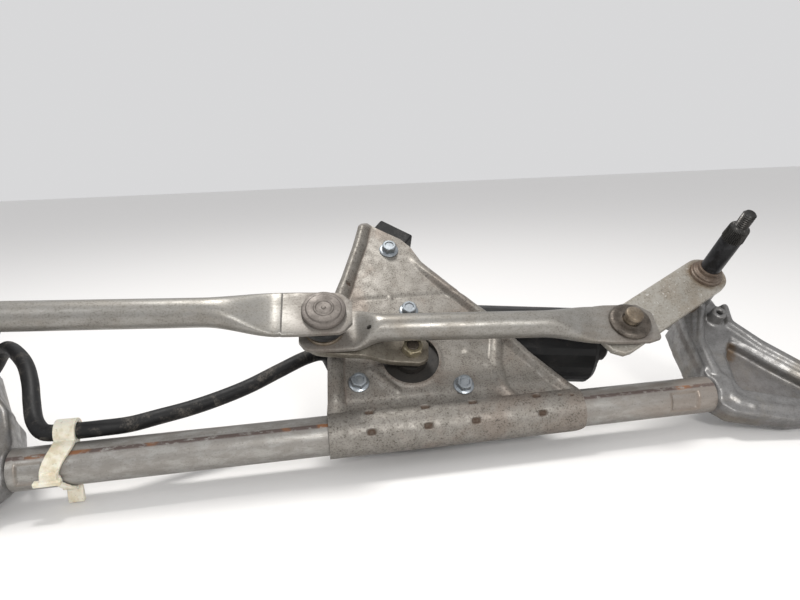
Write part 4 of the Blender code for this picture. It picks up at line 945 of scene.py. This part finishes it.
def spindle(side):
    """A spindle with its arm seat, the rusty collar on the lever, and what holds it below."""
    top, foot, r, at = LEVER_TOP[side], -24.0, SPINDLE_R, SPINDLES[side]
    knurl_low = top + 38.5
    name = f"{side}_spindle"
    arm_seat(side, knurl_low)
    shaft = [(6.9, knurl_low), (7.1, knurl_low - 0.4), (7.1, top + 5.4), (r, top - 1.0), (r, foot - 3.0)]
    shaft += [(r - 1, foot - 3.2), (r - 1, foot - 4.6), (r, foot - 4.8), (r, foot - 7.0)]
    shaft += [(r - 0.8, foot - 7.8), (0.0, foot - 7.8)]
    thing = piece(f"{name}_steel", *turned(shaft, at, 144), "spindle", sharp=30)
    mounted(thing, name, "dark_steel", name)
    collar = raised(top, (7.0, 8.4), (7.8, 8.3), (8.2, 7.8), (8.3, 5.2), (8.9, 4.7), (10.0, 4.5),
                    (10.6, 4.0), (10.8, 2.6), (11.6, 2.0), (11.9, 0.1), (6.3, 0.05))
    lathe(f"{name}_collar", collar, at, "rusty", name, "dark_steel", (), 72, True)
    washer = flat_ring(r + 0.3, 11.0, foot - 0.8, foot - 2.0, 0.3)
    lathe(f"{side}_washer_zinc", washer, at, "washer", name, "zinc", [f"{side}_thrust_washer"], 64, True)
    ring = flat_ring(r - 0.7, 9.0, foot - 3.4, foot - 4.4, 0.3)
    lathe(f"{side}_ring_steel", ring, at, "greasy", name, "dark_steel", [f"{side}_retaining_ring"], 64, True)


# ---- pivot housings and clip
def cad_copy(node):
    """A CAD node's mesh in design millimetres."""
    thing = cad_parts[node]
    to_design = DESIGN.inverted() @ thing.matrix_world
    points = [tuple((to_design @ v.co) / MM) for v in thing.data.vertices]
    return points, [tuple(p.vertices) for p in thing.data.polygons]


def bar(path, radii, low, tops):
    """A rounded rib along a path in the plane. Half width and top are one number or one per point."""
    count, sides = len(path), 14
    radii = radii if isinstance(radii, list) else [radii] * count
    tops = tops if isinstance(tops, list) else [tops] * count
    rings = []
    for i, (x, y) in enumerate(path):
        before, after = path[max(i - 1, 0)], path[min(i + 1, count - 1)]
        size = math.dist(before, after)
        across = ((after[1] - before[1]) / size, -(after[0] - before[0]) / size)
        ring = []
        for k in range(sides):
            c, s = (math.copysign(abs(q) ** 0.7, q) for q in polar(1.0, 360 * k / sides))
            ring.append((x + across[0] * c * radii[i], y + across[1] * c * radii[i],
                         (low + tops[i]) / 2 + s * (tops[i] - low) / 2))
        rings.append(ring)
    return skin(rings)


def cast(name, solids, finish, slot, node, voxel, rounds):
    """Several overlapping solids fused into one skin with the soft edges of a casting or moulding."""
    points, faces = [], []
    for more, their_faces in solids:
        start = len(points)
        points += more
        faces += [tuple(i + start for i in face) for face in their_faces]
    thing = piece(name, points, faces, finish)
    modify(thing, "REMESH", mode="VOXEL", voxel_size=voxel * MM, adaptivity=0.0, use_smooth_shade=True)
    modify(thing, "SMOOTH", factor=0.6, iterations=rounds)
    apply_modifiers(thing)
    thing.data.set_sharp_from_angle(angle=math.radians(70))
    if not thing.data.materials:
        thing.data.materials.append(PALETTE[finish])
    return mounted(thing, "frame", slot, node)


def paint_soil_and_shade(thing, value):
    """Writes the soil-and-shade mask from a function of a point in design millimetres."""
    mesh = thing.data
    layer = mesh.attributes.new("grime", "FLOAT", "POINT")
    layer.data.foreach_set("value", [value(v.co / MM) for v in mesh.vertices])


# The castings' ribs over their flat CAD bodies: path, half widths and tops.
RIB_FOOT = -4
RIBS = {
    "right": [
        ([(236, 76), (227, 58), (217.5, 39), (216.5, 13), (221, -9), (233, -17)],
         [5.0, 4.8, 4.4, 4.2, 4.4, 4.4], [16, 15, 14, 13.5, 12.5, 12]),
        ([(221, -12), (242, -18.5), (264, -23.5), (300, -27), (330, -29)],
         [3.2, 3.2, 3.2, 3.2, 3.4], [12, 12, 12, 11.5, 11.5]),
        ([(251, 66), (248, 50), (263, 30), (284, 9), (304, -5), (322, -10)],
         [4.0, 4.4, 4.6, 4.6, 4.2, 4.0], [15, 14, 13.5, 13, 12, 11]),
        ([(228, -2), (229, 6), (232, 25), (242, 37), (252, 30), (266, 15), (283, -1), (302, -13)], 2.6, 8.6),
    ],
    "left": [
        ([(-292, 100), (-272, 70), (-262, 48), (-250, 33), (-246, 20), (-244, 2), (-246, -12)],
         4.2, [15, 14, 14, 13, 13, 12.5, 12]),
        ([(-248, -12), (-275, -18), (-300, -24), (-328, -27)], 3.2, 12),
        ([(-308, 98), (-320, 60), (-333, 20), (-340, 0)], [4.2, 3.8, 3.8, 4.0], 12.5),
    ],
}


def right_grime(p):
    """A line of dirt at the height of the parting line, fading outwards."""
    return 0.30 * (1 - smooth(1.5, 3.5, abs(p.z - 1.0))) * (1 - smooth(225.0, 300.0, p.x))


def left_grime(p):
    """Brown dirt on the pocket's floor, up to the rib beside the tube."""
    return 0.7 * (1 - smooth(2.0, 8.0, p.z)) * smooth(-5.5, -2.0, p.z) * (1 - smooth(-250.0, -243.0, p.x))


def housings():
    """The CAD's castings with their ribs, fused and softened."""
    for side, grime in (("right", right_grime), ("left", left_grime)):
        node = f"{side}_pivot_housing"
        solids = [cad_copy(node)]
        solids += [bar(path, radii, RIB_FOOT, tops) for path, radii, tops in RIBS[side]]
        thing = cast(f"{side}_housing_casting", solids, "cast", "cast_aluminium", node, 0.9, 14)
        paint_soil_and_shade(thing, grime)


def eye_fittings():
    """The rubber grommets and steel sleeves in the mounting eyes."""
    high, low = 13.0, -7.6
    pad = [(5.3, high), (6.0, high), (12.0, high), (13.0, high - 1.0), (13.0, 10.5), (12.6, 10.3)]
    pad += [(8.5, 10.3), (8.5, -6.3), (12.6, -6.3), (13.0, -6.6), (12.8, low), (5.3, low)]
    sleeve = flat_ring(3.4, 5.0, high, low, 0.35)
    for side, at in EYES.items():
        eye = f"{side}_mount"
        lathe(f"{side}_grommet_rubber", pad, at, "rubber", "frame", "rubber", [f"{eye}_grommet"], 72, True)
        lathe(f"{side}_sleeve_zinc", sleeve, at, "washer", "frame", "zinc", [f"{eye}_sleeve"], 64, True)


def band(radii, start, end, place, half, steps=40, at=(0.0, 0.0)):
    """A strap bent about a line along X: place and half give its middle and half width at an angle."""
    rings = []
    for i in range(steps + 1):
        a = start + (end - start) * i / steps
        middle, reach = place(a), half(a)
        inner, outer = (polar(r, a, at) for r in radii)
        rings.append([(middle - reach, *inner), (middle + reach, *inner), (middle + reach, *outer),
                      (middle - reach, *outer)])
    return skin(rings)


def clip():
    """The moulded clip: a slanting strap with a narrow tongue and a hooked end, the lead's loop and the
    foot below the tube."""
    middle = -210.5

    def level(a):
        return middle

    def slant(a):
        return middle - 5.6 * smooth(65.0, 140.0, a)

    def strap_half(a):
        return 6.0 - 0.9 * smooth(80.0, 150.0, a)

    def tongue(a):
        return middle + 1.5 - 5.0 * (1 - smooth(146.0, 190.0, a))

    def tongue_half(a):
        return 3.9 - 1.6 * smooth(150.0, 158.0, a) * (1 - smooth(186.0, 198.0, a))

    down = 270.0 - math.degrees(LEAN)
    solids = [
        band((12.8, 15.3), 20.0, 150.0, slant, strap_half),
        band((12.8, 14.8), 142.0, 236.0, tongue, tongue_half),
        band((5.3, 7.9), -38.0, 232.0, level, lambda a: 6.0, 48, HELD_ROUTE[-1][1:]),
        band((14.2, 18.0), 146.0, 156.0, lambda a: slant(150.0) - 0.8, lambda a: 7.6, 4),
        band((14.2, 16.9), 130.0, 147.0, slant, lambda a: 4.6, 4),
        band((13.4, 24.6), down - 5.0, down + 3.0, lambda a: middle + 1.5, lambda a: 4.6, 4),
    ]
    thing = cast("clip_moulding", solids, "clip", "clip_plastic", "cable_clip", 0.42, 5)
    paint_soil_and_shade(thing, lambda p: 0.45 * smooth(15.5, 22.0, math.hypot(p.y, p.z))
                * (1 - smooth(-16.0, -8.0, p.z)))


# ---- lead
HELD_ROUTE = [
    (-18.6, 47.0, -49.0), (-34.0, 53.0, -46.0), (-46.0, 67.0, -33.0), (-53.0, 73.5, -20.0),
    (-66.0, 69.0, -14.0), (-85.5, 58.5, -11.5), (-105.8, 47.0, -9.0), (-125.0, 38.0, -6.0),
    (-143.0, 31.0, -3.0), (-160.6, 25.0, 1.0), (-177.0, 19.5, 5.0), (-192.8, 17.0, 8.5),
    (-204.0, 16.6, 9.0), (-211.0, 16.6, 9.0),
]
TAIL_ROUTE = [
    (-211.4, 16.6, 9.0), (-217.0, 16.6, 9.0), (-225.0, 18.5, 8.8), (-231.5, 27.0, 8.0),
    (-236.5, 41.0, 6.0), (-241.5, 57.0, 3.5), (-249.0, 73.5, 0.0), (-260.0, 88.0, -5.5),
    (-271.0, 98.0, -13.8), (-279.5, 100.5, -25.0), (-289.0, 95.0, -36.0), (-304.0, 85.0, -44.0),
    (-322.0, 71.0, -53.0), (-337.0, 58.5, -61.5), (-350.0, 51.0, -66.2), (-366.0, 50.0, -65.9),
    (-382.0, 50.0, -65.9),
]
PLUG_AT, PLUG_SIZE = (-399.6, 50.0, -65.9), (34.0, 22.0, 11.0)


def smooth_route(route, count):
    """Evenly spaced places on the Catmull-Rom curve through the route's points, and its length."""
    ends = [Vector(route[0]) * 2 - Vector(route[1]), *map(Vector, route)]
    ends.append(Vector(route[-1]) * 2 - Vector(route[-2]))
    fine, steps = [], 24
    for a, b, c, d in zip(ends, ends[1:], ends[2:], ends[3:]):
        for i in range(steps):
            t = i / steps
            bend = (2 * a - 5 * b + 4 * c - d) * t * t + (3 * b - a - 3 * c + d) * t * t * t
            fine.append(0.5 * (2 * b + (c - a) * t + bend))
    fine.append(Vector(route[-1]))
    travelled = [0.0]
    for before, after in zip(fine, fine[1:]):
        travelled.append(travelled[-1] + (after - before).length)
    places, at = [], 0
    for i in range(count):
        target = travelled[-1] * i / (count - 1)
        while at < len(fine) - 2 and travelled[at + 1] < target:
            at += 1
        span = travelled[at + 1] - travelled[at]
        places.append(fine[at].lerp(fine[at + 1], (target - travelled[at]) / span))
    return places, travelled[-1]


def cable(name, route, count):
    """A sheathed cable as a round curve, returned with its length in metres."""
    places, length = smooth_route(route, count)
    curve = bpy.data.curves.new(name, "CURVE")
    curve.dimensions = "3D"
    curve.bevel_depth = LEAD_R * MM
    curve.bevel_resolution = 8
    curve.use_fill_caps = True
    spline = curve.splines.new("POLY")
    spline.points.add(count - 1)
    for point, place in zip(spline.points, places):
        point.co = (*(place * MM), 1.0)
    curve.materials.append(PALETTE["sheath"])
    thing = added(name, curve)
    thing.matrix_world = DESIGN
    return thing, length * MM


def cords():
    """The lead that the clip holds, and the free tail beyond it with its connector."""
    held, _ = cable("lead_sheath", HELD_ROUTE, 180)
    mounted(held, "frame", "sheath", "motor_lead")
    tail, length = cable("tail_sheath", TAIL_ROUTE, 160)
    mounted(tail, "frame", "sheath", "lead_tail")
    plug_body()


def plug_body():
    """The connector: a rounded box lying level."""
    points = []
    for x, y, z in [(x, y, z) for x in (-0.5, 0.5) for y in (-0.5, 0.5) for z in (-0.5, 0.5)]:
        level = turned_point((y * PLUG_SIZE[1], z * PLUG_SIZE[2]), -math.degrees(LEAN), PLUG_AT[1:])
        points.append((PLUG_AT[0] + x * PLUG_SIZE[0], *level))
    faces = [(0, 1, 3, 2), (4, 5, 7, 6), (0, 1, 5, 4), (2, 3, 7, 6), (0, 2, 6, 4), (1, 3, 7, 5)]
    thing = bevelled("plug_body", points, faces, "plastic", 1.6)
    return mounted(thing, "frame", "black_plastic", "lead_plug")


# ---- what stays as it is in the CAD
KEPT = {
    "upper_mount_block": "rubber", "gear_housing": "case", "output_bush": "bronze", "gear_cover": "plastic",
    "motor_can": "can", "upper_magnet": "ferrite", "lower_magnet": "ferrite", "brush_card": "plastic",
    "upper_brush": "ferrite", "lower_brush": "ferrite", "front_bearing": "bronze", "rear_bearing": "bronze",
    "armature_shaft": "greasy", "armature_core": "ferrite", "armature_winding": "copper",
    "commutator": "copper", "output_shaft": "greasy", "worm_wheel": "nylon",
    "left_upper_bush": "bronze", "left_lower_bush": "bronze",
    "right_upper_bush": "bronze", "right_lower_bush": "bronze",
}


def kept_nodes():
    """Better materials on the CAD nodes that keep their own shape."""
    for node, finish in KEPT.items():
        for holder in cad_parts[node].material_slots:
            holder.link = "OBJECT"
            holder.material = PALETTE[finish]


camera()
cords()
studio()
kept_nodes()
tube()
bracket()
bolts()
crank_arm()
crank_nut()
crank_joint()
for hand in ("left", "right"):
    lever_joint(hand)
for hand in ("left", "right"):
    rod(hand)
    lever(hand)
    spindle(hand)
housings()
eye_fittings()
clip()
bpy.context.scene.view_settings.view_transform = "Standard"

bpy.context.view_layer.update()
